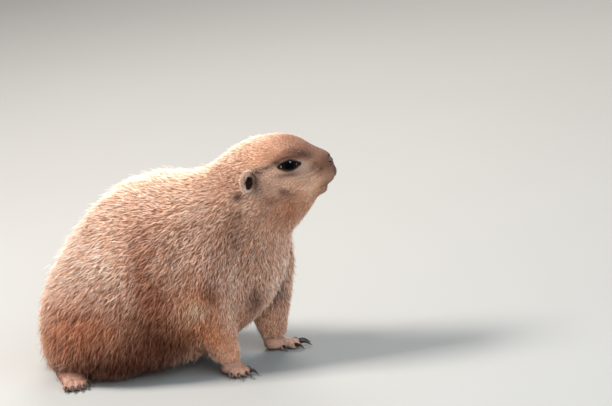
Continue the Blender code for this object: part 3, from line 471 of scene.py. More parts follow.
# x, side, height and three radii in mm; colour; strength: broad fields first, on both sides of the body
BODY_MARKS_AND_SHADE = (
    (-10, 0, 150, 110, 45, 34, (230, 208, 188), 0.95), (-90, 10, 85, 30, 40, 40, (232, 206, 186), 0.85),
    (-45, 50, 92, 40, 30, 30, (232, 210, 194), 0.85), (-68, 48, 86, 26, 30, 24, (236, 214, 198), 0.8),
    (-45, 52, 45, 50, 30, 22, (182, 120, 86), 0.9), (-78, 45, 32, 36, 40, 18, (200, 140, 106), 0.8),
    (-98, 14, 50, 20, 50, 36, (226, 192, 168), 0.85), (4, 55, 85, 10, 20, 36, (158, 104, 76), 0.85),
    (10, 55, 58, 10, 20, 20, (156, 96, 66), 0.8), (12, 53, 105, 12, 20, 16, (186, 140, 114), 0.6),
    # painted shade: the clouds on this line and the next two darken the low flank, the flank behind the
    # elbow, the belly's edge, the foot of the haunch, the flank behind the fore leg and the underside
    (-18, 50, 20, 48, 40, 15, (120, 64, 40), 0.9), (4, 48, 34, 22, 25, 20, (112, 66, 44), 0.9),
    (-6, 50, 4, 56, 50, 13, (46, 22, 15), 0.92), (-42, 56, 14, 20, 30, 9, (78, 38, 24), 0.85),
    (18, 38, 30, 14, 14, 16, (72, 40, 28), 0.85), (0, 0, 2, 90, 56, 12, (60, 36, 26), 0.9),
    (78, 0, 76, 30, 24, 36, (222, 192, 174), 0.85), (62, 40, 76, 14, 12, 20, (232, 210, 196), 0.85),
    (60, 30, 98, 26, 24, 20, (182, 150, 130), 0.8), (71.5, 32, 114.6, 7, 10, 6, (120, 88, 70), 0.8),
    (66, 34, 104, 5, 10, 8, (126, 94, 76), 0.7), (44, 43, 96, 16, 14, 16, (206, 178, 164), 0.7),
    (36, 48, 48, 18, 18, 22, (222, 138, 84), 0.92), (46.5, 43, 64, 4.5, 12, 14, (120, 76, 56), 0.8),
    (41, 44, 52, 3, 12, 12, (110, 68, 50), 0.6), (33, 43, 52, 10, 16, 8, (250, 224, 196), 0.95),
    (46, 36, 28, 13, 18, 15, (230, 168, 124), 0.9), (54, 34, 40, 6, 12, 20, (232, 212, 200), 0.9),
    # painted shade: the first cloud on the next line darkens the chest between the fore legs
    (50, 14, 40, 12, 12, 18, (140, 98, 80), 0.7), (50, 30, 14, 26, 28, 10, (226, 192, 174), 0.88),
    (-62, 46, 4, 30, 30, 9, (190, 146, 122), 0.9), (78, 26, 34, 14, 20, 34, (236, 208, 190), 0.88),
    # painted shade: the second cloud on the next line is a narrow dark band on the inner side of each fore
    # leg
    (62, 34, 22, 10, 16, 20, (222, 160, 120), 0.7), (70, 21, 50, 6, 9, 16, (96, 58, 48), 0.85),
)
# back, side, height and three radii in mm; colour; strength: the face, on both sides of the head
HEAD_MARKS_AND_SHADE = (
    (50, 0, 166, 30, 20, 12, (228, 198, 172), 0.9), (48, 20, 151, 14, 10, 8, (214, 172, 140), 0.8),
    (74, 0, 154, 22, 30, 18, (230, 204, 182), 0.85), (72, 24, 136, 14, 14, 12, (186, 146, 122), 0.7),
    (26, 0, 157, 14, 18, 9, (148, 106, 84), 0.9), (46, 26, 126, 18, 14, 14, (206, 182, 166), 0.9),
    (36, 24, 134, 12, 10, 8, (204, 184, 172), 0.9), (32, 18, 112, 18, 14, 12, (196, 148, 118), 0.8),
    (14, 0, 150, 13, 14, 9, (120, 88, 74), 0.95), (8, 0, 142, 14, 14, 12, (128, 98, 86), 0.9),
    (4, 0, 132, 7, 12, 8, (122, 98, 90), 0.85), (5, 6, 139, 6, 7, 7, (110, 84, 76), 0.8),
    (10, 11, 137, 6.5, 7, 6, (124, 90, 72), 0.8), (8.5, 9.5, 136, 1.4, 5, 1.2, (66, 42, 34), 0.8),
    (11.8, 11, 134.5, 1.4, 5, 1.2, (66, 42, 34), 0.8), (9, 10.5, 132.5, 1.4, 5, 1.2, (70, 46, 36), 0.75),
    (14, 12, 138, 1.6, 5, 1.4, (72, 46, 36), 0.75), (12, 11, 140.5, 1.6, 5, 1.4, (72, 46, 36), 0.7),
    (7, 10, 128, 5.5, 6, 3.6, (150, 128, 120), 0.8), (14.5, 12.5, 128, 6.2, 7, 5.8, (244, 224, 208), 0.95),
    (12, 0, 120, 9, 8, 4.5, (150, 126, 116), 0.85), (20.5, 16, 139.2, 5.6, 8, 6, (184, 180, 182), 0.97),
    (26.2, 18, 134.5, 8, 8, 4, (164, 144, 134), 0.85), (28, 16, 148.8, 10, 7, 4.2, (124, 86, 68), 0.85),
    (19, 12.5, 148.8, 6.6, 5, 3.4, (80, 48, 34), 0.97),
    (24.8, 13.5, 150.8, 6.4, 4.2, 2.6, (92, 56, 40), 0.85), (15.5, 11, 146.5, 4, 5, 2.6, (88, 58, 46), 0.8),
    # painted shade: the second cloud on the next line is a thin dark line where the brow shades the upper
    # lid
    (34, 18.5, 149, 7, 4, 2.6, (150, 104, 78), 0.6), (29, 17.5, 147, 8, 6, 1.4, (74, 48, 38), 0.8),
    (36.5, 20, 145.2, 4.6, 4.4, 1.8, (52, 28, 20), 0.95),
    (43, 22.5, 143.2, 5.6, 4.4, 1.5, (72, 42, 30), 0.9),
    (49.5, 24.5, 140.7, 4.8, 4.4, 2, (52, 28, 20), 0.95),
    (50.5, 26.2, 135, 3, 4.4, 6.2, (68, 40, 30), 0.85), (63.6, 28.2, 126.6, 3.8, 7, 3, (62, 34, 24), 0.95),
    (32.5, 23.5, 125.8, 4.6, 5.6, 2.6, (100, 64, 50), 0.85),
    (28, 21.5, 123.2, 5, 5.6, 1.8, (130, 92, 74), 0.6), (40, 25.5, 121.5, 7, 6, 2.4, (124, 90, 74), 0.65),
    (22.5, 17, 130, 6, 6, 2.6, (150, 112, 92), 0.5), (29, 20.5, 136.6, 7, 5, 1.5, (46, 32, 30), 0.85),
)
print("marks:", len(BODY_MARKS_AND_SHADE) + len(HEAD_MARKS_AND_SHADE))

# %% Clouds and streaks
MIXERS = np.array((374761393, 668265263, 2147483647))


def cloudy(points, size, seed):
    """Soft random clouds from -1 to 1: random values on a lattice, blended with smooth weights."""
    places = points / size
    cell = np.floor(places).astype(np.int64)
    part = places - cell
    part = part * part * (3 - 2 * part)
    total = np.zeros(len(points))
    for corner in np.ndindex(2, 2, 2):
        at = cell + corner
        mixed = (at @ MIXERS + seed * 974634) & 0x7FFFFFFF
        mixed = (mixed ^ (mixed >> 13)) * 1274126177 & 0x7FFFFFFF
        value = ((mixed ^ (mixed >> 16)) & 0xFFFF) / 32767.5 - 1
        weight = np.prod(np.where(np.array(corner) == 1, part, 1 - part), axis=1)
        total += value * weight
    return total


def hair_streaks(points):
    """Clouds drawn out along the slope of the flanks, so that they read as locks running down and back."""
    along = np.array([0.62, 0.0, 0.78])
    ahead = points @ along
    across = points - ahead[:, None] * along
    return 0.6 * cloudy(across + ahead[:, None] * along * 0.22, 0.0042, 3) + 0.4 * cloudy(points, 0.011, 5)


print("a cloud at the nose:", cloudy(NOSE_TIP[None], 0.011, 5).round(3))

# %% The colour at a place
TAIL_TIP = paint(52, 38, 30)


def markings_and_shade(points):
    """The coat's colour at each point, painted shade included: a base coat, the body's clouds, then those
    of the head.
    """
    model = points - SHIFT
    model[:, 1] = np.abs(model[:, 1])
    colour = np.tile(BASE_COAT, (len(points), 1))
    local = head_places(points)
    local[:, 1] = np.abs(local[:, 1])
    for places, marks in ((model, BODY_MARKS_AND_SHADE), (local, HEAD_MARKS_AND_SHADE)):
        for x, side, height, rx, ry, rz, tint, strength in marks:
            away = (places - MM * np.array((x, side, height))) / (MM * np.array((rx, ry, rz)))
            share = strength * np.exp(-((away**2).sum(1)))
            colour += (paint(*tint) - colour) * share[:, None]
    nearest, on_tail = tail_share(points)
    share = np.clip((nearest - 26) / 12, 0, 1) * on_tail
    colour += (TAIL_TIP - colour) * (0.92 * share)[:, None]
    streak = hair_streaks(points)
    on_face = np.clip((local[:, 0] - 0.030) / 0.025, 0.25, 1)
    return colour * (1 + 0.16 * streak * on_face)[:, None]


print("colour of the crown:", markings_and_shade(head_point(0.05, 0, 0.16)[None])[0].round(3))

# %% [markdown]
# ## Shader maths as plain expressions
# A finish is easier to read as a formula than as a tangle of nodes. The small class below wraps one
# socket, so that `1 - mask * 0.5` adds the Math nodes it needs, and one method makes any other node.

# %% Shader helpers
class Value:
    """One socket of a finish; + - * / on it add Math nodes."""

    def __init__(self, finish, socket):
        self.finish = finish
        self.socket = socket

    def maths(self, operation, first, second):
        return self.finish.node("ShaderNodeMath", {"operation": operation}, {0: first, 1: second})

    def __add__(self, other):
        return self.maths("ADD", self, other)

    __radd__ = __add__

    def __sub__(self, other):
        return self.maths("SUBTRACT", self, other)

    def __rsub__(self, other):
        return self.maths("SUBTRACT", other, self)

    def __mul__(self, other):
        return self.maths("MULTIPLY", self, other)

    __rmul__ = __mul__

    def above(self, level):
        """1 where the value is over a level, else 0."""
        return self.maths("GREATER_THAN", self, level)


class Finish:
    """A material with one shader for all its looks, and the one method that adds a node to it."""

    def __init__(self, name):
        self.material = bpy.data.materials.new(name)
        self.material.use_nodes = True
        self.tree = self.material.node_tree
        self.shader = self.tree.nodes["Principled BSDF"]

    def node(self, kind, settings=None, sockets=None, output=0):
        """Adds a node: settings first (a ramp's stops among them), then values or links, by socket."""
        made = self.tree.nodes.new(kind)
        for key, setting in (settings or {}).items():
            if key == "stops":
                self.set_stops(made.color_ramp, setting)
            else:
                setattr(made, key, setting)
        for key, value in (sockets or {}).items():
            self.feed(made.inputs[key], value)
        return Value(self, made.outputs[output])

    def set_stops(self, ramp, stops):
        """A ramp's stops: each is a place from 0 to 1 and a grey or a colour."""
        while len(ramp.elements) < len(stops):
            ramp.elements.new(1.0)
        for element, (place, colour) in zip(ramp.elements, stops):
            element.position = place
            colour = (colour,) * 3 if np.isscalar(colour) else tuple(colour)
            element.color = (*colour, 1.0)

    def feed(self, socket, value):
        """Links a value into a socket, or sets the socket to a colour or a number."""
        if isinstance(value, Value):
            self.tree.links.new(value.socket, socket)
        elif isinstance(value, (tuple, list, np.ndarray)):
            value = [float(v) for v in value]
            socket.default_value = value + [1.0] * (len(socket.default_value) - len(value))
        else:
            socket.default_value = value

    def wear(self, **sockets):
        """Sets the shader's own sockets; an underscore in a name stands for a space."""
        for key, value in sockets.items():
            self.feed(self.shader.inputs[key.replace("_", " ")], value)
        return self.material

    def places(self, scale=(1.0, 1.0, 1.0)):
        """Object coordinates, stretched if asked."""
        spot = self.node("ShaderNodeTexCoord", output="Object")
        return self.node("ShaderNodeMapping", None, {"Vector": spot, "Scale": scale})

    def noise(self, scale, detail=3.0, stretch=(1.0, 1.0, 1.0)):
        """Soft clouds, about 1 / scale metres across."""
        sockets = {"Vector": self.places(stretch), "Scale": scale, "Detail": detail}
        return self.node("ShaderNodeTexNoise", None, sockets)

    def cells(self, scale):
        """The distance to the nearest of scattered points: pebbles or scales."""
        sockets = {"Vector": self.places(), "Scale": scale}
        return self.node("ShaderNodeTexVoronoi", {"feature": "F1"}, sockets)

    def ramp(self, value, *stops):
        """A value led through stops of grey or colour."""
        return self.node("ShaderNodeValToRGB", {"stops": stops}, {"Fac": value})

    def mix(self, share, first, second, blend="MIX"):
        """Two colours, mixed by a share."""
        settings = {"data_type": "RGBA", "blend_type": blend, "clamp_result": True}
        return self.node("ShaderNodeMix", settings, {0: share, 6: first, 7: second}, 2)

    def tinted(self, first, second):
        """One colour multiplied by another."""
        return self.mix(1.0, first, second, "MULTIPLY")

    def bump(self, height, strength, distance):
        """A normal bent by a height, for grain too fine to model."""
        sockets = {"Height": height, "Strength": strength, "Distance": distance}
        return self.node("ShaderNodeBump", None, sockets)

    def attribute(self, name, output="Fac"):
        """What the mesh stores at its points under a name."""
        return self.node("ShaderNodeAttribute", {"attribute_name": name}, None, output)


print("finishes can be written as formulas")

# %% Dressing a piece
def set_attribute(piece, name, values):
    """Stores one number or one colour for each point of the mesh."""
    if np.ndim(values) == 1:
        layer = piece.data.attributes.new(name, "FLOAT", "POINT")
        layer.data.foreach_set("value", np.ascontiguousarray(values, np.float32))
    else:
        layer = piece.data.attributes.new(name, "FLOAT_COLOR", "POINT")
        full = np.concatenate([values, np.ones((len(values), 1))], axis=1)
        layer.data.foreach_set("color", np.ascontiguousarray(full, np.float32).ravel())


def dress(piece, material, slot, *nodes):
    """Gives a finished piece its material and the body that it rides on, and hides what it replaces; the
    slot is not used.
    """
    piece.data.materials.clear()
    piece.data.materials.append(material)
    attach(piece, "root")
    if nodes:
        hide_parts(*nodes)
    return piece


print("shader helpers ready")

# %% [markdown]
# ## The skin under the coat
# One closed skin stands for the flesh: head, neck, trunk, legs and tail. A sculptor would blend clay
# over the joints. Here copies of the solids, swelled by 0.3 mm to close their joint gaps, are fused
# by a voxel Remesh. The surface then sinks by the depth of the coat: length * sine of the rise.

# %% Skin
SWELL = 0.0003
SKIN_VOXEL = 0.0012
FLESH = ["head", "neck", "torso", "front_leg_right", "front_leg_left"]
FLESH += ["hind_leg_right", "hind_leg_left", "tail"]
SOCKET_DEPTH, SOCKET_REACH = 0.0014, 0.0105
EAR_SEAT_DEPTH = 0.0045


def squared_off(points, centre, axes, wide, high, shift=0.0):
    """(x / wide) squared + (y / high) squared in a feature's own axes, and how far out each point is."""
    local = (points - centre) @ axes.T
    return ((local[:, 0] - shift) / wide) ** 2 + (local[:, 1] / high) ** 2, local[:, 2]


def make_skin():
    """Fused copies of the flesh, with the eye sockets and ear seats filled, sunk by the coat's depth.
    Then the skin is drawn in under each eyeball's slit and under each ear cup."""
    points, triangles = merged_copy(FLESH, SWELL)
    plugs = []
    for label, _ in SIDES:
        centre, axes = EYES[label]
        plugs.append(ball_rings(centre, (EYE_RADIUS + 0.0004,) * 3))
        root, axes = EARS[label]
        plugs.append(ball_rings(root - axes[2] * 0.0012, (0.0054, 0.0076, 0.0026), axes))
    plug_points, plug_triangles = joined(plugs)
    everything = np.concatenate([points, plug_points])
    skin = mesh_piece("skin", everything, np.concatenate([triangles, plug_triangles + len(points)]))
    fused(skin, SKIN_VOXEL, 6)
    for _ in range(2):
        points, normals, _ = read_mesh(skin)
        _, length, rise = hair_lie(points)
        depth = SWELL / 2 + 0.46 * length * np.sin(rise) * 0.9
        write_points(skin, points - normals * depth[:, None])
    points, _, _ = read_mesh(skin)
    for label, _ in SIDES:
        centre, axes = EYES[label]
        slit, outward = squared_off(points, centre, axes, SLIT_LENGTH * 0.58, SLIT_HEIGHT * 0.64)
        reach = np.linalg.norm(points - centre, axis=1)
        socket_floor = EYE_RADIUS - SOCKET_DEPTH
        target = centre + unit(points - centre) * socket_floor
        inside = np.clip(1.6 - slit, 0, 1) * (outward > 0)
        sink = inside * (reach > socket_floor) * (reach < SOCKET_REACH)
        points += (target - points) * sink[:, None]
        root, axes = EARS[label]
        seat, outward = squared_off(points, root, axes, EAR_WIDTH * 0.46, EAR_LENGTH * 0.46)
        sink = np.clip(2.2 - 2.2 * seat, 0, 1) * (np.abs(outward) < 0.006)
        points -= EAR_SEAT_DEPTH * sink[:, None] * axes[2]
    points[:, 2] = np.maximum(points[:, 2], 0.0004)
    write_points(skin, points)
    return skin


skin = make_skin()
skin_points, skin_normals, skin_triangles = read_mesh(skin)
SKIN_TREE = ray_tree(skin_points, skin_triangles)
set_attribute(skin, "marking", markings_and_shade(skin_points))
print("skin:", len(skin_triangles), "triangles")

# %% [markdown]
# ## The eyes
# A prairie dog's eye is a shiny, nearly black bead that fills its lids. Glass eyes for models are
# turned from rod and polished. Here a ball is made of rings about the way the eye looks, so that a
# dark brown iris can follow them.

# %% Eyeballs
def make_eyeball(label, centre, axes):
    """A ball whose pole looks out; its distance from the pole's line is kept as 'along'."""
    down = np.linspace(0.02, math.pi - 0.02, 36)[:, None]
    turn = np.linspace(0, 2 * math.pi, 48, endpoint=False)[None]
    ring = np.sin(down)
    local = np.stack(np.broadcast_arrays(ring * np.cos(turn), ring * np.sin(turn), np.cos(down)), -1)
    points, triangles = closed_tube(centre + EYE_RADIUS * local @ axes)
    triangles = facing_out(points - centre, triangles)
    eye = mesh_piece(f"eyeball_{label}", points, triangles)
    spread = np.linalg.norm(((points - centre) @ axes.T)[:, :2], axis=1) / EYE_RADIUS
    set_attribute(eye, "along", spread)
    return eye


def eye_finish():
    """Black pupil, a dark brown ring of iris, and one smooth gloss over both."""
    finish = Finish("eye_gloss")
    spread = finish.attribute("along")
    flecks = finish.noise(1500, 4)
    pupil = ((0.0, paint(4, 4, 6)), (0.46, paint(5, 5, 6)))
    ring = ((0.56, paint(24, 15, 11)), (0.86, paint(16, 10, 8)), (1.0, paint(6, 5, 5)))
    iris = finish.ramp(spread, *pupil, *ring)
    colour = finish.mix(flecks * 0.3, iris, paint(6, 5, 5))
    return finish.wear(Base_Color=colour, Roughness=0.05, IOR=1.45)


EYE_FINISH = eye_finish()
for label, (centre, axes) in EYES.items():
    dress(make_eyeball(label, centre, axes), EYE_FINISH, "eye", f"eye_{label}")
print("eyeballs: radius", EYE_RADIUS)

# %% [markdown]
# ## The eyelids
# The lids are dark, bare rims that lie on the eyeball, thicken into a fold, and run out under the
# fur. They could be sculpted into the skin, but a separate ring keeps their crisp edge. One profile
# is carried round an almond line: from inside the ball, over the rim and the fold, to the cheek.

# %% Eyelids
# half length, height above and height below the middle, of the rim and of the outer edge
LID_RIM = (0.0057, 0.0031, 0.0026)
LID_EDGE = (0.0092, 0.0052, 0.0046)
LID_EDGE_SHIFT = 0.0003
# share of the way from rim to edge, and lift above the straight line, along one cross-section
LID_PROFILE = (
    (-0.04, -0.0012), (-0.02, 0.0000), (0.02, 0.00042), (0.10, 0.00066), (0.20, 0.00058),
    (0.30, 0.00040), (0.45, 0.00062), (0.62, 0.00070), (0.80, 0.00045), (1.0, 0.0),
    (0.8, -0.0016), (0.4, -0.0020), (0.1, -0.0020),
)


def almond(turn, length, upper, lower):
    """x = half the length * cos a; y = the height * |sin a| to the power 1.4: a line with pointed ends."""
    climb = np.sin(turn)
    height = np.where(climb > 0, upper, lower)
    return np.stack([length * np.cos(turn), np.sign(climb) * height * np.abs(climb) ** 1.4], -1)


def skin_height(flat, centre, axes):
    """How far out the skin lies under each point of a line drawn across the eye."""
    starts = [centre + (x * axes[0] + y * axes[1] + 0.03 * axes[2]) for x, y in flat[:, :2]]
    return np.array([(hit(SKIN_TREE, start, -axes[2])[0] - centre) @ axes[2] for start in starts])


def make_lids(label, centre, axes):
    """A closed ring round the eye; each cross-section is a profile between the ball and the skin, and
    its upper side is kept above the skin, out to the corners."""
    turn = np.linspace(0, 2 * math.pi, 72, endpoint=False)
    inner = almond(turn, *LID_RIM)
    outer = almond(turn, *LID_EDGE)
    outer[:, 0] += LID_EDGE_SHIFT
    spread = np.linalg.norm(inner, axis=1)
    inner_z = np.sqrt(np.maximum(EYE_RADIUS**2 - spread**2, 1e-9)) + 0.0001
    outer_z = skin_height(outer, centre, axes)
    outer_z = np.convolve(np.tile(outer_z, 3), np.ones(7) / 7, "same")[len(turn) : 2 * len(turn)]
    inner3 = np.column_stack([inner, inner_z])
    outer3 = np.column_stack([outer, outer_z - 0.0006])
    brow = np.clip(np.sin(turn), 0, 1)
    rows = []
    for share, lift in LID_PROFILE:
        row = inner3 + share * (outer3 - inner3)
        row[:, 2] += lift * (1 + 0.45 * brow * (share > 0.3))
        if lift > 0.0003:
            row[:, 2] = np.maximum(row[:, 2], skin_height(row, centre, axes) + 0.00025 + 0.25 * lift)
        rows.append(row)
    grid = np.stack(rows, axis=1)
    points = centre + grid.reshape(-1, 3) @ axes
    triangles = wrapped_grid(len(turn), len(LID_PROFILE), join_rows=True)
    corners = points[triangles]
    normal = np.cross(corners[:, 1] - corners[:, 0], corners[:, 2] - corners[:, 0])
    top = np.isin(triangles % len(LID_PROFILE), (3, 4, 5, 6, 7)).all(1)
    if (normal[top] @ axes[2]).sum() < 0:
        triangles = triangles[:, ::-1]
    lids = mesh_piece(f"eyelids_{label}", points, triangles)
    share = np.tile(np.array([abs(step[0]) for step in LID_PROFILE]), len(turn))
    under = np.repeat(np.clip(-np.sin(turn), 0, 1), len(LID_PROFILE))
    corner = np.repeat(np.abs(np.cos(turn)) ** 4, len(LID_PROFILE))
    set_attribute(lids, "along", share * (1 - 0.45 * under) * (1 - 0.8 * corner))
    set_attribute(lids, "marking", markings_and_shade(points))
    return lids, share


def lid_finish():
    """Nearly black at the rim, then fading into the colour of the coat, with fine creases."""
    finish = Finish("eyelid_skin")
    share = finish.attribute("along")
    dark = finish.ramp(share, (0.0, 1.0), (0.20, 0.96), (0.42, 0.62), (0.9, 0.25))
    coat = finish.tinted(finish.attribute("marking", "Color"), (0.50, 0.46, 0.44))
    creases = finish.noise(2600, 4)
    return finish.wear(Base_Color=finish.mix(dark, coat, paint(22, 14, 12)), Roughness=0.6 + 0.2 * creases,
                       Specular_IOR_Level=0.18, Normal=finish.bump(creases, 0.4, 0.0002))


LID_FINISH = lid_finish()
LIDS = {}
for label, (centre, axes) in EYES.items():
    LIDS[label] = make_lids(label, centre, axes)
    dress(LIDS[label][0], LID_FINISH, "coat")
print("eyelids:", {label: len(lids.data.polygons) for label, (lids, _) in LIDS.items()}, "faces")

# %% [markdown]
# ## The ears
# The ear is a low cup: high behind, almost flat in front, with a rounded rim and a dark hollow. A
# potter would throw it as a bowl. Here rings climb the outside, turn over the rim and go down into
# the hollow, and the height of the rim falls from back to front.

# %% Ears
EAR_RISE_REAR, EAR_RISE_FRONT = 0.0052, -0.0004
EAR_NOTCH = math.radians(32.0)
# ring size, height as a share of the rim's, shift towards the notch
EAR_PROFILE = np.array(
    (
        (0.80, -1.0, 0.0), (0.92, -0.3, 0.0), (0.97, 0.20, 0.0), (1.00, 0.58, 0.0),
        (0.99, 0.86, 0.0), (0.95, 0.99, 0.0), (0.90, 0.95, 0.02), (0.84, 0.80, 0.05),
        (0.77, 0.52, 0.11), (0.64, 0.12, 0.19), (0.44, -0.30, 0.27), (0.16, -0.50, 0.31),
    )
)


def make_ear(label):
    """Rings about the ear's axis: half-sizes times the profile, height = share * rim height."""
    root, axes = EARS[label]
    turn = np.linspace(0, 2 * math.pi, 56, endpoint=False)
    forward = 0.5 + 0.5 * np.cos(turn + EAR_NOTCH)
    rim = EAR_RISE_REAR + (EAR_RISE_FRONT - EAR_RISE_REAR) * forward**0.8
    rows = smooth_path(EAR_PROFILE, 34)
    spread, share, inwards = (rows[:, k][:, None] for k in range(3))
    height = np.where(share >= 0, rim * share, 0.0022 * share)
    x = EAR_WIDTH / 2 * (spread * np.cos(turn) + inwards * math.cos(EAR_NOTCH))
    y = EAR_LENGTH / 2 * (spread * np.sin(turn) - inwards * math.sin(EAR_NOTCH))
    local = np.stack([x, y, height + 0 * x], -1)
    local[..., 2] += 0.0003 * np.sin(3 * turn) * np.clip(share, 0, 1)
    points, triangles = closed_tube(root + local @ axes)
    points += box_centre(f"ear_{label}") - (points.min(0) + points.max(0)) / 2
    triangles = facing_out(points - points.mean(0), triangles)
    ear = mesh_piece(f"ear_cup_{label}", points, triangles)
    depth = np.concatenate([np.repeat(np.linspace(0, 1, len(rows)), len(turn)), [0.0, 1.0]])
    set_attribute(ear, "along", depth)
    set_attribute(ear, "marking", markings_and_shade(points))
    return ear, depth


def ear_finish():
    """Coat-coloured outside, brown at the rim, and dark skin with painted shade down in the hollow."""
    finish = Finish("ear_skin")
    depth = finish.attribute("along")
    grain = finish.noise(1800, 4)
    # partly painted shade: the dark skin of the hollow, nearly black deepest in the cup for the shade of
    # the ear opening
    hollow_skin_and_shade = finish.ramp(depth, (0.0, 0.0), (0.56, 0.0), (0.66, 0.6), (0.76, 1.0))
    rim = finish.ramp(depth, (0.30, 0.0), (0.46, 0.4), (0.58, 0.4), (0.66, 0.0))
    coat = finish.mix(rim, finish.attribute("marking", "Color"), paint(166, 122, 92))
    colour = finish.mix(hollow_skin_and_shade, coat, finish.mix(grain, paint(16, 10, 8), paint(40, 26, 20)))
    return finish.wear(Base_Color=colour, Roughness=0.7 + 0.15 * grain, Specular_IOR_Level=0.12,
                       Normal=finish.bump(grain, 0.35, 0.0002))


EAR_FINISH = ear_finish()
EAR_CUPS = {}
for label, _ in SIDES:
    EAR_CUPS[label] = make_ear(label)
    dress(EAR_CUPS[label][0], EAR_FINISH, "ear_skin", f"ear_{label}")
print("ear cups:", EAR_LENGTH, "long", EAR_WIDTH, "wide")

# %% [markdown]
# ## The nose
# The bare nose pad is brown leather with two comma-shaped nostrils and a groove down to the lip. It
# could be sculpted. Here it is an egg-shaped grid, pressed in with soft dents where the nostrils are,
# so that each dent has a place and a depth of its own.

# %% Nose pad
NOSE_RADII = np.array((0.0036, 0.0042, 0.0034))
# a nostril's dents: swing from straight ahead and rise, in degrees; width in degrees; depth as a share
DEEPEST_DENT = 0.42
NOSTRIL_DENTS = ((38, -2, 9, DEEPEST_DENT), (47, 0, 9, 0.36), (57, 6, 8, 0.26), (66, 14, 7, 0.16))


def make_nose():
    """Radius along each direction = an egg, less dents: 1.5 mm at each nostril, 0.5 mm down the middle."""
    centre = box_centre("nose") - 0.0017 * FORWARD - 0.0003 * UPWARD
    latitude = np.linspace(-0.985, 0.985, 60)[:, None] * math.pi / 2
    turn = np.linspace(0, 2 * math.pi, 84, endpoint=False)[None]
    way = globe(latitude, turn)
    side = np.degrees(np.arctan2(np.abs(way[..., 1]), way[..., 0]))
    lift = np.degrees(np.arcsin(np.clip(way[..., 2], -1, 1)))
    depth = np.zeros(side.shape)
    for swing, rise, wide, deep in NOSTRIL_DENTS:
        away = ((side - swing) / wide) ** 2 + ((lift - rise) / (wide * 0.72)) ** 2
        depth = np.maximum(depth, deep * np.exp(-away))
    groove = 0.13 * np.exp(-((side / 7) ** 2)) * np.clip(0.15 - way[..., 2], 0, 1) * (way[..., 0] > 0)
    wing = 0.07 * np.exp(-(((side - 50) / 26) ** 2) - (((lift - 20) / 16) ** 2))
    shape = way * (1 - depth - groove + wing)[..., None] * NOSE_RADII
    points, triangles = closed_tube(centre + shape @ HEAD_AXES)
    nose = mesh_piece("nose_pad", points, facing_out(points - centre, triangles))
    set_attribute(nose, "along", np.concatenate([depth.ravel(), [0.0, 0.0]]) / DEEPEST_DENT)
    return nose


def nose_finish():
    """Pebbled, slightly moist leather, with painted shade nearly black in the nostril dents."""
    finish = Finish("nose_skin")
    pebbles = finish.cells(2600.0)
    cloud = finish.noise(700, 3)
    leather = finish.mix(cloud, paint(84, 60, 52), paint(108, 82, 72))
    # painted shade: the deeper the dent, the nearer black, for the shade inside each nostril
    nostril_shade = finish.ramp(finish.attribute("along"), (0.0, 0.0), (0.2, 0.35), (0.48, 1.0))
    return finish.wear(Base_Color=finish.mix(nostril_shade, leather, paint(18, 11, 10)), Roughness=0.55 + 0.2 * cloud,
                       Specular_IOR_Level=0.3, Normal=finish.bump(pebbles, 0.35, 0.00012))


dress(make_nose(), nose_finish(), "nose_skin", "nose")
print("nose pad: half-sizes", NOSE_RADII)

# %% [markdown]
# ## The lips
# The mouth shows as one dark line round the muzzle, with a split from its middle up to the nose. It
# could be cut into the skin, but a thin tube keeps its edge under the hair. Rays cast at the skin
# find the places that the tube runs through.

# %% Lips
MOUTH_FRONT, MOUTH_CORNER = 0.1252, 0.1226


def mouth_line(hand_share):
    """Where the mouth's line meets the skin at a share from -1 (right corner) to 1 (left corner)."""
    swing = math.radians(96.0) * hand_share
    back = max(0.0105, 0.0105 - 0.0105 * math.cos(swing))
    level = MOUTH_FRONT + (MOUTH_CORNER - MOUTH_FRONT) * abs(hand_share) ** 1.5
    away = math.cos(swing) * FORWARD + math.sin(swing) * LEFTWARD
    if abs(hand_share) > 0.76:
        away = math.copysign(1.0, hand_share) * LEFTWARD
    return hit(SKIN_TREE, head_point(back, 0.0, level) + 0.05 * away, -away)


def make_lips():
    """Two closed tubes: the mouth's line round the muzzle, and the split from it up to the nose."""
    places = [mouth_line(share)[0] for share in np.linspace(-1, 1, 25)]
    line = smooth_path(places, 90)
    thick = 0.00055 * np.sin(np.linspace(0.12, math.pi - 0.12, 90)) ** 0.4
    split = []
    for height in np.linspace(MOUTH_FRONT - 0.0004, NOSE_HEIGHT - 0.0018, 9):
        split.append(hit(SKIN_TREE, head_point(0.012, 0.0, height) + 0.05 * FORWARD, -FORWARD)[0])
    split = smooth_path(split, 24)
    tubes = [tube_rings(line, thick, 10, 0.75), tube_rings(split, 0.0005, 8, 1.0, LEFTWARD)]
    return mesh_piece("lip_line", *joined(tubes))


def lip_finish():
    """Dark brown skin, clouded, a little moist."""
    finish = Finish("lip_skin")
    cloud = finish.noise(900, 3)
    colour = finish.mix(cloud, paint(66, 46, 40), paint(98, 74, 66))
    return finish.wear(Base_Color=colour, Roughness=0.5 + 0.1 * cloud)


LIPS = dress(make_lips(), lip_finish(), "nose_skin")
print("lips:", len(LIPS.data.polygons), "faces")

# %% [markdown]
# ## The whiskers
# Whiskers are stiff, tapered bristles in rows on the muzzle, dark at the root and pale at the tip,
# with two short ones over the brow. Real models have horsehair glued in. Here each is a tapered tube
# along a curve: straight out of the skin first, then swept back and drooping as the square of the way.

# %% Whiskers
# rows on the muzzle pad, then the brow and the cheek: back, height, length in mm
WHISKER_ROWS = (
    (7, 138.5, 15), (9.5, 138, 20), (12, 137.2, 24), (14.5, 136.5, 27), (7.5, 135.2, 15),
    (10, 134.6, 20), (12.5, 134, 25), (15, 133.4, 28), (8.5, 131.8, 14), (11, 131.2, 19),
    (13.5, 130.6, 23), (16, 130, 25), (10.5, 129, 14), (13, 128.4, 17), (20, 149, 8), (22.5, 150, 10),
    (33, 127.5, 12),
)
BROW_HEIGHT = 145


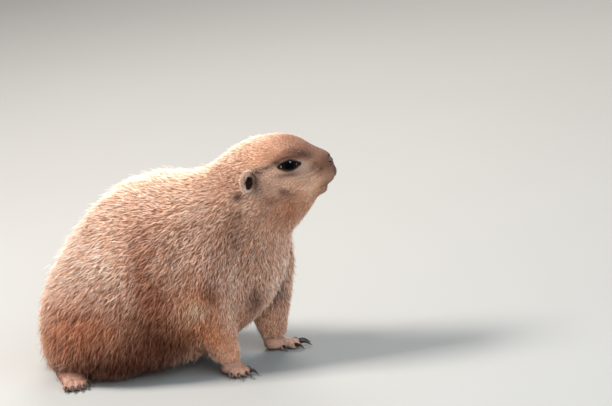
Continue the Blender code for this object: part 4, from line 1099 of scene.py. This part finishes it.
def make_whiskers():
    """Tapered tubes that leave the skin sideways and a little forwards, then sweep back and droop."""
    chance = np.random.default_rng(SEED)
    tubes, share, roots = [], [], []
    for hand in (-1.0, 1.0):
        for back, height, length in WHISKER_ROWS:
            start = head_point(back * MM, 0, height * MM) + hand * 0.05 * LEFTWARD
            place, normal = hit(SKIN_TREE, start, -hand * LEFTWARD)
            length *= MM * chance.uniform(0.9, 1.1)
            first = unit(normal * 0.7 + hand * LEFTWARD * 0.5 - FORWARD * chance.uniform(0.1, 0.35))
            back_sweep = chance.uniform(0.75, 1.0)
            lift = chance.uniform(-0.45, 0.2) + (height > BROW_HEIGHT) * 0.2
            bend = -FORWARD * back_sweep + UPWARD * lift
            t = np.linspace(0, 1, 12)[:, None]
            path = place - normal * 0.0006 + length * (t * first + 0.5 * t**2 * bend)
            tubes.append(tube_rings(path, np.linspace(0.000115, 0.00003, 12), 5, up=(0.3, 0.1, 1.0)))
            share.append(np.concatenate([np.repeat(t[:, 0], 5), [0.0, 1.0]]))
            roots.append(place)
    points, triangles = joined(tubes)
    whiskers = mesh_piece("whiskers", points, triangles)
    set_attribute(whiskers, "along", np.concatenate(share))
    return whiskers, np.array(roots)


def whisker_finish():
    """Horn that pales from root to tip."""
    finish = Finish("whisker_horn")
    stops = ((0.0, paint(40, 28, 24)), (0.5, paint(96, 76, 62)), (1.0, paint(206, 186, 164)))
    colour = finish.ramp(finish.attribute("along"), *stops)
    return finish.wear(Base_Color=colour, Roughness=0.35)


WHISKERS, WHISKER_ROOTS = make_whiskers()
dress(WHISKERS, whisker_finish(), "coat")
print("whiskers:", len(WHISKER_ROOTS))

# %% [markdown]
# ## The feet
# The fore feet are broad digging hands with long claws, the hind feet long soles with shorter ones.
# They are built as a modeller lays up clay: a palm, a heel, toes that arch over their knuckles, and
# a wrist that reaches up into the leg. A fine voxel Remesh fuses them at half a millimetre.

# %% Toes and claws
# spread in degrees, length, radius, claw length, from the inner toe to the outer one
FORE_TOES = (
    (-34, 0.0075, 0.0022, 0.0072), (-15, 0.0105, 0.0024, 0.0098), (3, 0.0115, 0.0025, 0.0108),
    (21, 0.0100, 0.0024, 0.0098), (46, 0.0045, 0.0019, 0.0056),
)
HIND_TOES = (
    (-24, 0.0110, 0.0024, 0.0061), (-11, 0.0140, 0.0026, 0.0069), (0, 0.0150, 0.0027, 0.0071),
    (11, 0.0140, 0.0026, 0.0069), (26, 0.0090, 0.0022, 0.0056),
)


def bearing_way(bearing):
    """The level direction at an angle from straight ahead."""
    return np.array([math.cos(bearing), math.sin(bearing), 0.0])


def toe_rings(start, bearing, length, radius):
    """A tube that rises over two knuckles and comes down at its pad; also gives its end."""
    share = np.array([0.0, 0.2, 0.38, 0.52, 0.68, 0.84, 1.0, 1.06])
    lift = np.array([0.6, 0.95, 1.05, 0.80, 0.70, 0.42, 0.14, 0.10])
    size = np.array([0.90, 0.98, 1.06, 0.92, 0.99, 0.96, 0.80, 0.40])
    path = start + share[:, None] * length * bearing_way(bearing)
    path[:, 2] = radius * 0.92 + lift * radius * 0.7
    fine = smooth_path(np.column_stack([path, radius * size]), 22)
    return tube_rings(fine[:, :3], fine[:, 3], 14), path[-2]


def claw_rings(start, bearing, length, radius, drop):
    """Height = a sine arch less a parabola, radius falls to the tip: a horn sheath, deeper than wide."""
    share = np.linspace(0.0, 0.985, 18)
    path = start + share[:, None] * length * bearing_way(bearing)
    path[:, 2] += radius * 1.2 * np.sin(math.pi * np.minimum(1.0, share * 1.15)) - drop * share**2
    path[:, 2] = np.maximum(path[:, 2], 0.00045)
    thick = radius * 1.05 * (1.0 - share) ** 0.62
    return tube_rings(path, thick, 12, 1.18)


print("toes:", len(FORE_TOES), "before and", len(HIND_TOES), "behind")

# %% The shapes of a foot
def fore_foot(place, heading, inner):
    """Shapes of a fore foot's flesh and claws: palm, heel, wrist and five toes."""
    turn = np.stack([bearing_way(heading), bearing_way(heading + math.pi / 2), UPWARD])
    centre = np.array([place[0], place[1], 0.0048])
    ahead = bearing_way(heading)
    flesh = [
        ball_rings(centre - (0, 0, 0.0008), (0.0082, 0.0080, 0.0044), turn),
        ball_rings(centre - 0.002 * ahead + (0, 0, 0.0016), (0.0062, 0.0066, 0.0058), turn),
    ]
    x, y = place
    wrist = [centre - 0.002 * ahead + (0, 0, 0.002), (x - 0.0028, y, 0.0130), (x - 0.0050, y, 0.0230)]
    thick = np.linspace(0.0060, 0.0062, 12)
    flesh.append(tube_rings(smooth_path(wrist, 12), thick, 20, up=(1.0, 0.0, 0.0)))
    claws = []
    for spread, length, radius, claw_length in FORE_TOES:
        bearing = heading + math.radians(spread) * inner
        toe, end = toe_rings(centre + 0.0040 * bearing_way(bearing), bearing, length + 0.0015, radius)
        flesh.append(toe)
        claw_root = end - 0.0012 * bearing_way(bearing) + (0, 0, 0.0003)
        claws.append(claw_rings(claw_root, bearing, claw_length, 0.00125, 0.0019))
    return flesh, claws


def hind_foot(heel, heading, inner):
    """Shapes of a hind foot's flesh and claws: a sole from the heel to the ball, and five toes."""
    ahead = bearing_way(heading)
    turn = np.stack([ahead, bearing_way(heading + math.pi / 2), UPWARD])
    origin = np.array([heel[0], heel[1], 0.0])
    shares = (0.0, 0.2, 0.5, 0.8, 1.0)
    rows = [origin + ahead * (0.006 + share * 0.020) + (0, 0, 0.0056 - 0.0008 * share) for share in shares]
    thick = np.interp(np.linspace(0, 1, 14), shares, (0.0056, 0.0064, 0.0066, 0.0070, 0.0070))
    flesh = [
        tube_rings(smooth_path(rows, 14), thick, 20, 0.80),
        ball_rings(rows[0] - (0, 0, 0.0004), (0.0070, 0.0062, 0.0054), turn),
        ball_rings(rows[-1], (0.0085, 0.0084, 0.0050), turn),
    ]
    claws = []
    for spread, length, radius, claw_length in HIND_TOES:
        bearing = heading + math.radians(spread) * inner
        root = origin + ahead * 0.027 + turn[1] * math.radians(spread) * inner * 0.011
        toe, end = toe_rings(root, bearing, length * 0.82, radius)
        flesh.append(toe)
        claw_root = end - 0.0011 * bearing_way(bearing) + (0, 0, 0.0002)
        claws.append(claw_rings(claw_root, bearing, claw_length, 0.0012, 0.0016))
    return flesh, claws


# the foot's maker, its place on the floor, its heading in degrees and which hand it is
FOOT_PLACES = {
    "front_foot_right": (fore_foot, (0.0475, -0.0250), -42, 1),
    "front_foot_left": (fore_foot, (0.0625, 0.0250), 8, -1),
    "hind_foot_right": (hind_foot, (-0.0800, -0.0240), -52, 1),
    "hind_foot_left": (hind_foot, (-0.0640, 0.0330), 34, -1),
}
print("feet to make:", *FOOT_PLACES)

# %% Feet
FOOT_VOXEL = 0.00052


def foot_finish():
    """Mauve-pink skin, scaled across the toes, buff where the short hair covers it."""
    finish = Finish("foot_skin")
    scales = finish.cells(1300.0)
    cloud = finish.noise(420, 4)
    bare = finish.mix(cloud, paint(140, 108, 96), paint(176, 142, 126))
    covered = finish.tinted(finish.attribute("marking", "Color"), (0.66, 0.58, 0.52))
    skin_tone = finish.mix(0.55, bare, covered)
    colour = finish.mix(finish.ramp(scales, (0.2, 0.0), (0.7, 0.45)), skin_tone, paint(112, 78, 68))
    grain = finish.bump(scales, 0.4, 0.0002)
    return finish.wear(Base_Color=colour, Roughness=0.52 + 0.2 * cloud, Normal=grain)


def claw_finish():
    """Dark brown horn, greyer towards a worn tip, with fine lengthwise streaks."""
    finish = Finish("claw_horn")
    streak = finish.noise(1500, 4)
    root = ((0.0, paint(78, 58, 48)), (0.3, paint(48, 36, 32)))
    worn = ((0.75, paint(66, 54, 48)), (1.0, paint(148, 130, 112)))
    horn = finish.ramp(finish.attribute("along"), *root, *worn)
    colour = finish.mix(streak * 0.45, horn, paint(30, 22, 20))
    return finish.wear(Base_Color=colour, Roughness=0.3 + 0.2 * streak)


FOOT_FINISH, CLAW_FINISH = foot_finish(), claw_finish()
FOOT_FLESH = {}
for name, (maker, place, heading, inner) in FOOT_PLACES.items():
    flesh, claws = maker(SHIFT[:2] + place, math.radians(heading), inner)
    foot = fused(mesh_piece(f"{name}_flesh", *joined(flesh)), FOOT_VOXEL, 4)
    points, _, _ = read_mesh(foot)
    points[:, 2] = np.maximum(points[:, 2], 0.0)
    write_points(foot, points)
    set_attribute(foot, "marking", markings_and_shade(points))
    dress(foot, FOOT_FINISH, "foot_coat", name)
    horn = mesh_piece(f"{name}_claws", *joined(claws))
    rows, sides = claws[0].shape[:2]
    one_claw = np.append(np.repeat(np.linspace(0, 1, rows), sides), [0.0, 1.0])
    set_attribute(horn, "along", np.tile(one_claw, len(claws)))
    dress(horn, CLAW_FINISH, "foot_coat")
    FOOT_FLESH[name] = foot
    print(name, len(foot.data.polygons), "faces")

# %% [markdown]
# ## The skin's finish
# Between the hairs of a real coat one sees dense down in the shade of the hairs above it. It could be
# painted plain brown. Here the skin wears the coat's own markings, multiplied by a warm, darker tone
# of painted shade that a fine nap breaks up, so that no gap in the coat shows a foreign colour.

# %% Skin finish
def skin_finish():
    """The coat's own markings, darkened by painted shade as between hairs, with a fine nap in the bump."""
    finish = Finish("under_coat_painted_shade")
    nap = finish.noise(900, 5, (1.0, 1.0, 2.4))
    # painted shade: the coat's colour darkened as it lies deep between the hairs
    down = finish.ramp(nap, (0.3, (0.42, 0.27, 0.19)), (0.7, (0.62, 0.44, 0.33)))
    colour = finish.tinted(finish.attribute("marking", "Color"), down)
    return finish.wear(Base_Color=colour, Roughness=0.8, Normal=finish.bump(nap, 0.6, 0.0006))


dress(skin, skin_finish(), "coat", *FLESH)
print("the skin stands for", len(FLESH), "solids")

# %% [markdown]
# ## Where the hairs grow
# A taxidermist's model keeps the real hide. Here the hide is imitated: roots are scattered over the
# skin, lids, ears and feet, more of them where the hair is short, none on bare rims and lips. Each
# root takes its direction, length and rise from the guides, with a little chance of its own.

# %% Roots
ALL_TUFTS = 148000
TUFTS = ALL_TUFTS
BODY, FOOT, TAIL = 0, 1, 2
chance = np.random.default_rng(SEED)
grown = []


def grow(spots, spot_normals, ways, lengths, rises, kind_here):
    """Keeps a patch of roots, each with its normal, direction, length, rise and kind."""
    count = len(spots)
    numbers = [np.broadcast_to(value, count) for value in (lengths, rises, kind_here)]
    grown.append((spots, spot_normals, ways, *numbers))


def scatter(points, triangles, density, count, stream):
    """Roots over triangles: equal steps through the summed area * density, jittered; the place in each
    triangle comes from two random numbers folded into it."""
    corners = points[triangles]
    edges = corners[:, 1:] - corners[:, :1]
    area = np.linalg.norm(np.cross(edges[:, 0], edges[:, 1]), axis=1) / 2
    summed = np.cumsum(area * density)
    steps = (np.arange(count) + stream.random(count)) / count * summed[-1]
    chosen = np.minimum(np.searchsorted(summed, steps), len(triangles) - 1)
    first, second = stream.random((2, count))
    fold = first + second > 1
    first, second = np.where(fold, 1 - first, first), np.where(fold, 1 - second, second)
    start, one, other = (corners[chosen, k] for k in range(3))
    return start + first[:, None] * (one - start) + second[:, None] * (other - start), chosen


def hair_width(length):
    """Hair tufts are 0.24 mm wide on the muzzle and half a millimetre on the flank."""
    return np.interp(length, (0.001, 0.003, 0.006, 0.009), (0.00024, 0.00031, 0.00044, 0.00052))


def bare_places(points):
    """True where no hair grows from the skin: in the lids, under the ears, on the nose and the lips."""
    bare = np.zeros(len(points), bool)
    for label, _ in SIDES:
        lid, outward = squared_off(points, *EYES[label], 0.0090, 0.0045, 0.0004)
        bare |= (lid < 1) & (outward > 0) & (outward < 0.012)
        seat, outward = squared_off(points, *EARS[label], EAR_WIDTH * 0.44, EAR_LENGTH * 0.44)
        bare |= (seat < 1) & (np.abs(outward) < 0.005)
    nose = (points - box_centre("nose")) @ HEAD_AXES.T / (NOSE_RADII * 1.04)
    bare |= (nose**2).sum(1) < 1
    line = np.array([mouth_line(share)[0] for share in np.linspace(-1, 1, 121)])
    close = np.flatnonzero(np.linalg.norm(points - line.mean(0), axis=1) < 0.03)
    gap = np.linalg.norm(points[close][:, None] - line[None], axis=-1).min(1)
    bare[close] |= gap < 0.0006
    return bare


def grow_skin_roots(count):
    """Roots on the skin; density = 1 / (length * width) to the power 0.72, as short hairs hide less."""
    middle = skin_points[skin_triangles].mean(1)
    _, length, _ = hair_lie(middle)
    density = (length * hair_width(length)) ** -0.72
    density *= np.where(bare_places(middle), 0.0, 1.0) * (middle[:, 2] > 0.0008)
    roots, chosen = scatter(skin_points, skin_triangles, density, count, chance)
    corners = skin_triangles[chosen]
    normals = unit(skin_normals[corners].mean(1))
    keep = ~bare_places(roots)
    return roots[keep], normals[keep]


skin_roots, root_normals = grow_skin_roots(TUFTS)
grow(skin_roots, root_normals, *hair_lie(skin_roots), BODY)
print("roots on the skin:", len(skin_roots))

# %% [markdown]
# ## Hair on the lids, the ears and the feet
# The shortest hair grows on the small parts: a millimetre on the lids, three on the ear cups and the
# toes, longer down the wrists. These parts are pieces of their own, so each gets its own roots, and
# its hair is combed outwards from the eye, out of the ear, and along the toes.

# %% Roots on lids, ears and feet
def patch_roots(piece, chosen, count):
    """Roots on part of another piece; a triangle counts if all its corners are among the chosen points."""
    points, point_normals, triangles = read_mesh(piece)
    density = chosen(points)[triangles].all(1).astype(float)
    spots, where = scatter(points, triangles, density, int(count * TUFTS / ALL_TUFTS), chance)
    return spots, unit(point_normals[triangles[where]].mean(1))


for label, _ in SIDES:
    lids, share = LIDS[label]
    centre, axes = EYES[label]
    spots, spot_normals = patch_roots(
        lids, lambda points: (share >= 0.44) & (((points - centre) @ axes.T)[:, 2] > 0.001), 900
    )
    lid_way = unit(unit(spots - centre) - 0.5 * FORWARD)
    grow(spots, spot_normals, lid_way, 0.0013, math.radians(13), BODY)
    cup, depth = EAR_CUPS[label]
    spots, spot_normals = patch_roots(cup, lambda points: (depth > 0.12) & (depth < 0.80), 3000)
    root, axes = EARS[label]
    inwards = -((spots - root) @ axes.T)[:, 0:1] / EAR_WIDTH
    ear_way = unit(axes[2] + 0.6 * inwards * axes[0] - 0.45 * FORWARD)
    grow(spots, spot_normals, ear_way, 0.0034, math.radians(30), BODY)
for name, foot in FOOT_FLESH.items():
    ahead = bearing_way(math.radians(FOOT_PLACES[name][2]))
    count = 2600 if name.startswith("front") else 2900
    spots, spot_normals = patch_roots(foot, lambda points: points[:, 2] > 0.0026, count)
    down = np.clip((spots[:, 2:] - 0.008) / 0.006, 0, 1)
    foot_way = unit(ahead * (1 - down) - UPWARD * (0.25 + down))
    grow(spots, spot_normals, foot_way, 0.0024 + 0.0034 * down[:, 0], math.radians(22), FOOT)
roots, normals, way, length, rise, kind = (np.concatenate(column) for column in zip(*grown))
_, on_tail = tail_share(roots)
kind[on_tail & (kind == BODY)] = TAIL
print("all roots:", len(roots))

# %% [markdown]
# ## Locks and strands
# Hairs lean together into small locks, which gives fur its soft, broken shine. Each root finds the
# nearest of a set of jittered cell centres, once for small locks and once for wide ones, and its tip
# is drawn part of the way there. Fine short down lies below longer, thinner guard hairs, and every
# strand sways, lifts and ends a little by its own chance. It is a three-sided spike with one bend.

# %% Locks
GUARD_SHARE = 0.66
FINE_LOCKS, WIDE_LOCKS = (0.0011, 0.0016), (0.0036, 0.0054)


def lock_centres(points, size, seed):
    """For each point the nearest jittered cell centre of the 27 round it, and three numbers of its own."""
    cell = np.floor(points / size).astype(np.int64)
    best = np.full(len(points), np.inf)
    centre = np.zeros_like(points)
    luck = np.zeros_like(points)
    for step in np.ndindex(3, 3, 3):
        at = cell + np.array(step) - 1
        mixed = (at[:, 0] * 73856093) ^ (at[:, 1] * 19349663) ^ (at[:, 2] * 83492791) ^ (seed * 2654435)
        mixed = (mixed ^ (mixed >> 11)) * 1274126177 & 0x7FFFFFFF
        jitter = np.stack([(mixed >> shift) & 1023 for shift in (0, 10, 20)], -1) / 1023
        again = (mixed ^ (mixed >> 9)) * 668265263 & 0x7FFFFFFF
        own = np.stack([(again >> shift) & 1023 for shift in (0, 10, 20)], -1) / 1023
        place = (at + jitter) * size
        gap = np.linalg.norm(points - place, axis=1)
        nearer = gap < best
        best[nearer] = gap[nearer]
        centre[nearer] = place[nearer]
        luck[nearer] = own[nearer]
    return centre, luck


def locks(points, short, sizes, seed):
    """Lock centres and their numbers, with smaller locks where the hair is short."""
    centre, luck = np.empty_like(points), np.empty_like(points)
    for chosen, size in ((short, sizes[0]), (~short, sizes[1])):
        centre[chosen], luck[chosen] = lock_centres(points[chosen], size, seed)
    return centre, luck


print("share of guard hairs:", round(1 - GUARD_SHARE, 2))

# %% Strands
count = len(roots)
draw = chance.random((8, count))
fate = draw[7]
guard = (fate > GUARD_SHARE) & (kind != FOOT)
short = length < 0.0034
fine_lock, fine_luck = locks(roots, short, FINE_LOCKS, 5)
wide_lock, wide_luck = locks(roots, short, WIDE_LOCKS, 9)
lean = unit(way - normals * (way * normals).sum(1, keepdims=True))
side = np.cross(normals, lean)
sway = (draw[0] - 0.5) * 0.80 + (fine_luck[:, 0] - 0.5) * 0.16 + (wide_luck[:, 0] - 0.5) * 0.22
sway *= np.where(guard, 1.5, 1.0) * np.where(kind == FOOT, 0.4, 1.0)
lean = unit(lean + side * sway[:, None])
long_hair = np.where(guard, 1.12, 0.86) + 0.38 * (draw[1] > 0.93)
reach = length * (0.62 + 0.3 * draw[2] + 0.16 * fine_luck[:, 1]) * long_hair
rise_now = np.clip(rise * (0.4 + 1.1 * draw[3]) + np.maximum(long_hair - 1, 0) * 0.4, 0.05, 1.1)
first_way = lean * np.cos(rise_now * 1.35)[:, None] + normals * np.sin(rise_now * 1.35)[:, None]
last_way = lean * np.cos(rise_now * 0.62)[:, None] + normals * np.sin(rise_now * 0.62)[:, None]
base = roots - normals * 0.00035
middle = base + first_way * (0.5 * reach)[:, None]
tip = middle + last_way * (0.5 * reach)[:, None]
middle += side * ((draw[6] - 0.5) * 0.10 * reach)[:, None]
give = np.clip((reach - 0.0006) / 0.0060, 0, 1) * (0.6 + 0.8 * draw[4]) * np.where(guard, 0.7, 1.0)
for lock, share in ((fine_lock, 0.24), (wide_lock, 0.13)):
    toward = lock - roots
    toward -= normals * (toward * normals).sum(1, keepdims=True)
    pull = give * share
    tip += toward * pull[:, None]
    middle += toward * (pull * 0.35)[:, None]
LOWEST = (0.0009, 0.0005, 0.0004)
for level, spots in zip(LOWEST, (base, middle, tip)):
    spots[:, 2] = np.maximum(spots[:, 2], level)
width = hair_width(length) * (0.85 + 0.3 * draw[5]) * np.where(guard, 0.72, 1.05)
print("strands:", count, "mean length mm", round(float(reach.mean() * 1000), 2))

# %% [markdown]
# ## Strands into meshes
# One piece must stay under 200,000 triangles, so the coat is cut into lengths of each flank, the
# feet and the tail. Every tuft also gets a patch on an unwrap of the body: columns follow the
# stations from rump to nose, rows the angle round the body, so a baked picture keeps its markings.

# %% One strand and its patch
TUFT_CORNERS = np.array(
    [[0, 2, 1]]
    + [[k, (k + 1) % 3, 3 + (k + 1) % 3] for k in range(3)]
    + [[k, 3 + (k + 1) % 3, 3 + k] for k in range(3)]
    + [[3 + k, 3 + (k + 1) % 3, 6] for k in range(3)]
)
PATCH = 0.003


def patch_pattern():
    """Where a tuft's ten triangles lie in its patch: three strips side by side, points up, cap below."""
    strips = [[(0.0, 0.0), (0.5, 0.08), (1.0, 0.0)]]
    strips += [[(k / 3, 0.1), ((k + 1) / 3, 0.1), ((k + 1) / 3, 0.55)] for k in range(3)]
    strips += [[(k / 3, 0.1), ((k + 1) / 3, 0.55), (k / 3, 0.55)] for k in range(3)]
    strips += [[(k / 3, 0.55), ((k + 1) / 3, 0.55), ((k + 0.5) / 3, 1.0)] for k in range(3)]
    return np.array(strips) * PATCH


def unwrap_cells(station, around):
    """Columns hold equal numbers of roots by station; in each column rows follow the angle round."""
    across = math.ceil(math.sqrt(len(station)))
    column = np.empty(len(station), int)
    column[np.argsort(station, kind="stable")] = np.arange(len(station)) // across
    order = np.lexsort((around, column))
    row = np.empty(len(station), int)
    row[order] = np.arange(len(station)) - across * column[order]
    return (np.stack([column, row], -1) + 0.5) / across - PATCH / 2


def strand_points(which):
    """Seven points a strand: a triangle at the root, a slightly smaller one at the bend, and the tip."""
    points = np.empty((len(which), 7, 3))
    thick = width[which][:, None, None]
    stages = ((base[which], middle[which], 0, 1.0), (middle[which], tip[which], 3, 0.82))
    angle = np.radians([210, 330, 90])[None, :, None]
    for here, there, first, size in stages:
        ahead = unit(there - here)
        across = unit(np.cross(normals[which], ahead))
        over = np.cross(ahead, across)
        ring = np.cos(angle) * across[:, None] * 0.5 + np.sin(angle) * over[:, None] * 0.3
        points[:, first : first + 3] = here[:, None] + ring * thick * size
    points[:, 6] = tip[which]
    points[..., 2] = np.maximum(points[..., 2], 0.0003)
    return points


print("triangles in a strand:", len(TUFT_CORNERS))

# %% Coat pieces
colours = markings_and_shade(roots) * (1 + 0.16 * (fine_luck[:, 0] - 0.5) + 0.14 * (wide_luck[:, 2] - 0.5))[:, None]


def coat_piece(name, which, slot, finish):
    """A mesh of the chosen strands, with their share from root to tip, chance, colour and bake patch."""
    points = strand_points(which)
    triangles = (TUFT_CORNERS[None] + (np.arange(len(which)) * 7)[:, None, None]).reshape(-1, 3)
    piece = mesh_piece(name, points.reshape(-1, 3), triangles)
    set_attribute(piece, "along", np.tile(np.array([0, 0, 0, 0.5, 0.5, 0.5, 1.0]), len(which)))
    set_attribute(piece, "chance", np.repeat(fate[which], 7))
    set_attribute(piece, "marking", np.repeat(colours[which], 7, axis=0))
    model = roots[which] - SHIFT
    around = np.arctan2(model[:, 2] - 0.065, np.abs(model[:, 1]) + 0.002)
    corners = unwrap_cells(model[:, 0], around)[:, None, None] + patch_pattern()[None]
    layer = piece.data.uv_layers.new(name="OFBake")
    layer.data.foreach_set("uv", np.ascontiguousarray(corners, np.float32).ravel())
    return dress(piece, finish, slot)


def fur_finish(name, tip_tint):
    """Marking * a ramp from root to tip, dark at the root, partly the hair's own base and partly painted
    shade deep in the coat; guard hairs end pale, a few dark, and each differs a little.
    """
    finish = Finish(name)
    along = finish.attribute("along")
    fate_here = finish.attribute("chance")
    marking = finish.attribute("marking", "Color")
    # partly painted shade: the root end is dark and saturated for the hair's own dark base and for the
    # shade deep in the coat
    root_dark_and_shade_stops = ((0.0, (0.44, 0.27, 0.18)), (0.45, (0.82, 0.64, 0.52)), (0.9, (1.0, 0.94, 0.90)))
    deep = finish.ramp(along, *root_dark_and_shade_stops)
    colour = finish.tinted(marking, deep)
    wobble = finish.node("ShaderNodeMath", {"operation": "FRACT"}, {0: fate_here * 17.3})
    tones = ((0.0, (0.62, 0.46, 0.36)), (0.5, (1.0, 0.88, 0.78)), (1.0, (1.26, 1.26, 1.28)))
    tone = finish.ramp(wobble, *tones)
    colour = finish.tinted(colour, tone)
    light = finish.tinted(marking, tip_tint)
    pale = fate_here.above(GUARD_SHARE) * finish.ramp(along, (0.25, 0.0), (0.85, 1.0))
    colour = finish.mix(pale, colour, light)
    dark = (1 - fate_here.above(0.06)) * finish.ramp(along, (0.2, 0.0), (0.6, 0.80))
    colour = finish.mix(dark, colour, paint(54, 36, 28))
    return finish.wear(Base_Color=colour, Roughness=0.56 + 0.16 * wobble, Specular_IOR_Level=0.35)


COAT_FINISH = fur_finish("coat_hair", (1.46, 1.60, 1.74))
FOOT_HAIR = fur_finish("foot_hair", (1.3, 1.3, 1.3))
TAIL_HAIR = fur_finish("tail_hair", (1.3, 1.3, 1.3))
MOST_STRANDS = 19000
HEAD_ENDS = 0.07
local = head_places(roots)
left = np.where(local[:, 0] < HEAD_ENDS, local[:, 1], roots[:, 1] - SHIFT[1]) > 0
pieces = 0
for label, hand in SIDES:
    members = np.flatnonzero((kind == BODY) & (left == (hand > 0)))
    members = members[np.argsort(roots[members, 0], kind="stable")]
    for part, which in enumerate(np.array_split(members, math.ceil(len(members) / MOST_STRANDS))):
        coat_piece(f"coat_{label}_{part + 1}", which, "coat", COAT_FINISH)
        pieces += 1
coat_piece("coat_feet", np.flatnonzero(kind == FOOT), "foot_coat", FOOT_HAIR)
coat_piece("coat_tail", np.flatnonzero(kind == TAIL), "tail_coat", TAIL_HAIR)
print("coat pieces:", pieces + 2)

# %% [markdown]
# ## The floor
# A museum case has a plain pale floor. A flat square would do, but its edge would show, so here it is
# a wide disc of rings round the animal, in smooth plaster with hardly any cloud in its colour.

# %% Floor
FLOOR_RADIUS = 12.0


def make_floor(rows=24, sides=96):
    """A disc of rings: radius = the widest * share squared, so that faces are small near the middle."""
    turn = np.linspace(0, 2 * math.pi, sides, endpoint=False)
    ring = FLOOR_RADIUS * np.linspace(0.02, 1.0, rows)[:, None] ** 2
    grid = np.stack([ring * np.cos(turn), ring * np.sin(turn), np.zeros((rows, sides))], -1)
    points = np.concatenate([grid.reshape(-1, 3), [[0.0, 0.0, 0.0]]])
    side = np.arange(sides)
    middle_fan = np.stack([np.full(sides, rows * sides), side, (side + 1) % sides], -1)
    triangles = np.concatenate([wrapped_grid(rows, sides, turn_over=True), middle_fan])
    floor = mesh_piece("floor", points, triangles)
    finish = Finish("floor_plaster")
    cloud = finish.noise(3.0, 3)
    colour = finish.mix(cloud, paint(136, 133, 129), paint(142, 139, 135))
    floor.data.materials.append(finish.wear(Base_Color=colour, Roughness=0.8))
    floor.visible_glossy = False
    return floor


print("floor:", len(make_floor().data.polygons), "faces")

# %% [markdown]
# ## The light
# The animal stands in open daylight that comes from above and from its tail end. Here a lamp panel
# high behind the rump lights the back, a second one draws the bright rim, and a wide, cool one by the
# camera fills the shadows. A small blue panel is there for the glint in the eye alone.

# %% Light
def soft_panel(name, place, size, energy, tint, target=(0.0, 0.0, 0.07), mirrored=True):
    """A square lamp aimed at a point; one that isn't mirrored leaves no reflection of itself."""
    panel = bpy.data.lights.new(name, "AREA")
    panel.size = size
    panel.energy = energy
    panel.color = tint
    lamp = bpy.data.objects.new(name, panel)
    bpy.context.scene.collection.objects.link(lamp)
    lamp.location = place
    lamp.rotation_euler = (Vector(target) - Vector(place)).to_track_quat("-Z", "Y").to_euler()
    lamp.visible_glossy = mirrored


soft_panel("sky_panel", (-0.85, -0.25, 1.30), 0.50, 56.0, (1.0, 0.98, 0.95))
soft_panel("rim_panel", (-0.15, 0.95, 1.05), 0.70, 14.0, (1.0, 0.98, 0.95))
soft_panel("fill_panel", (1.25, -1.3, 0.70), 1.4, 38.0, (0.93, 0.97, 1.0), mirrored=False)
glint_target = head_point(0.0286, -0.0165, 0.1424)
soft_panel("eye_panel", (0.74, -0.27, 0.88), 0.34, 4.4, (0.45, 0.78, 1.0), glint_target)
world = bpy.data.worlds.new("studio")
world.use_nodes = True
sky = world.node_tree.nodes["Background"].inputs
sky["Color"].default_value = (0.86, 0.90, 0.95, 1.0)
sky["Strength"].default_value = 0.50
world.cycles_visibility.glossy = False
bpy.context.scene.world = world
bpy.context.scene.view_settings.view_transform = "Standard"
print("lamps:", len(bpy.data.lights))

# %% [markdown]
# ## The camera
# The camera looks from twenty degrees round from the animal's right side, fifteen above level, and
# is rolled a little, which gives the lean of the ground in the picture that it follows. Its lens is
# worked out from the size of one pixel at the animal, so the model keeps its place in the frame.

# %% Camera
AZIMUTH, ELEVATION, ROLL = (math.radians(a) for a in (20.0, 15.0, 8.0))
PIXEL = 0.00068
PICTURE_WIDTH = 612
DISTANCE = 2.2
TARGET = SHIFT + (0.10828, 0.0, 0.11192)
level = math.cos(ELEVATION)
look = np.array([-math.sin(AZIMUTH) * level, math.cos(AZIMUTH) * level, -math.sin(ELEVATION)])
right = np.array([math.cos(AZIMUTH), math.sin(AZIMUTH), 0.0])
above = np.cross(right, look)
rolled_right = right * math.cos(ROLL) - above * math.sin(ROLL)
rolled_above = right * math.sin(ROLL) + above * math.cos(ROLL)
camera_data = bpy.data.cameras.new("camera")
camera_data.sensor_width = 36.0
camera_data.lens = camera_data.sensor_width * DISTANCE / (PICTURE_WIDTH * PIXEL)
camera = bpy.data.objects.new("camera", camera_data)
bpy.context.scene.collection.objects.link(camera)
turned = np.eye(4)
turned[:3, 0], turned[:3, 1], turned[:3, 2] = rolled_right, rolled_above, -look
turned[:3, 3] = TARGET - look * DISTANCE
camera.matrix_world = Matrix(turned.tolist())
bpy.context.scene.camera = camera
print("camera lens:", round(camera_data.lens, 1), "mm")
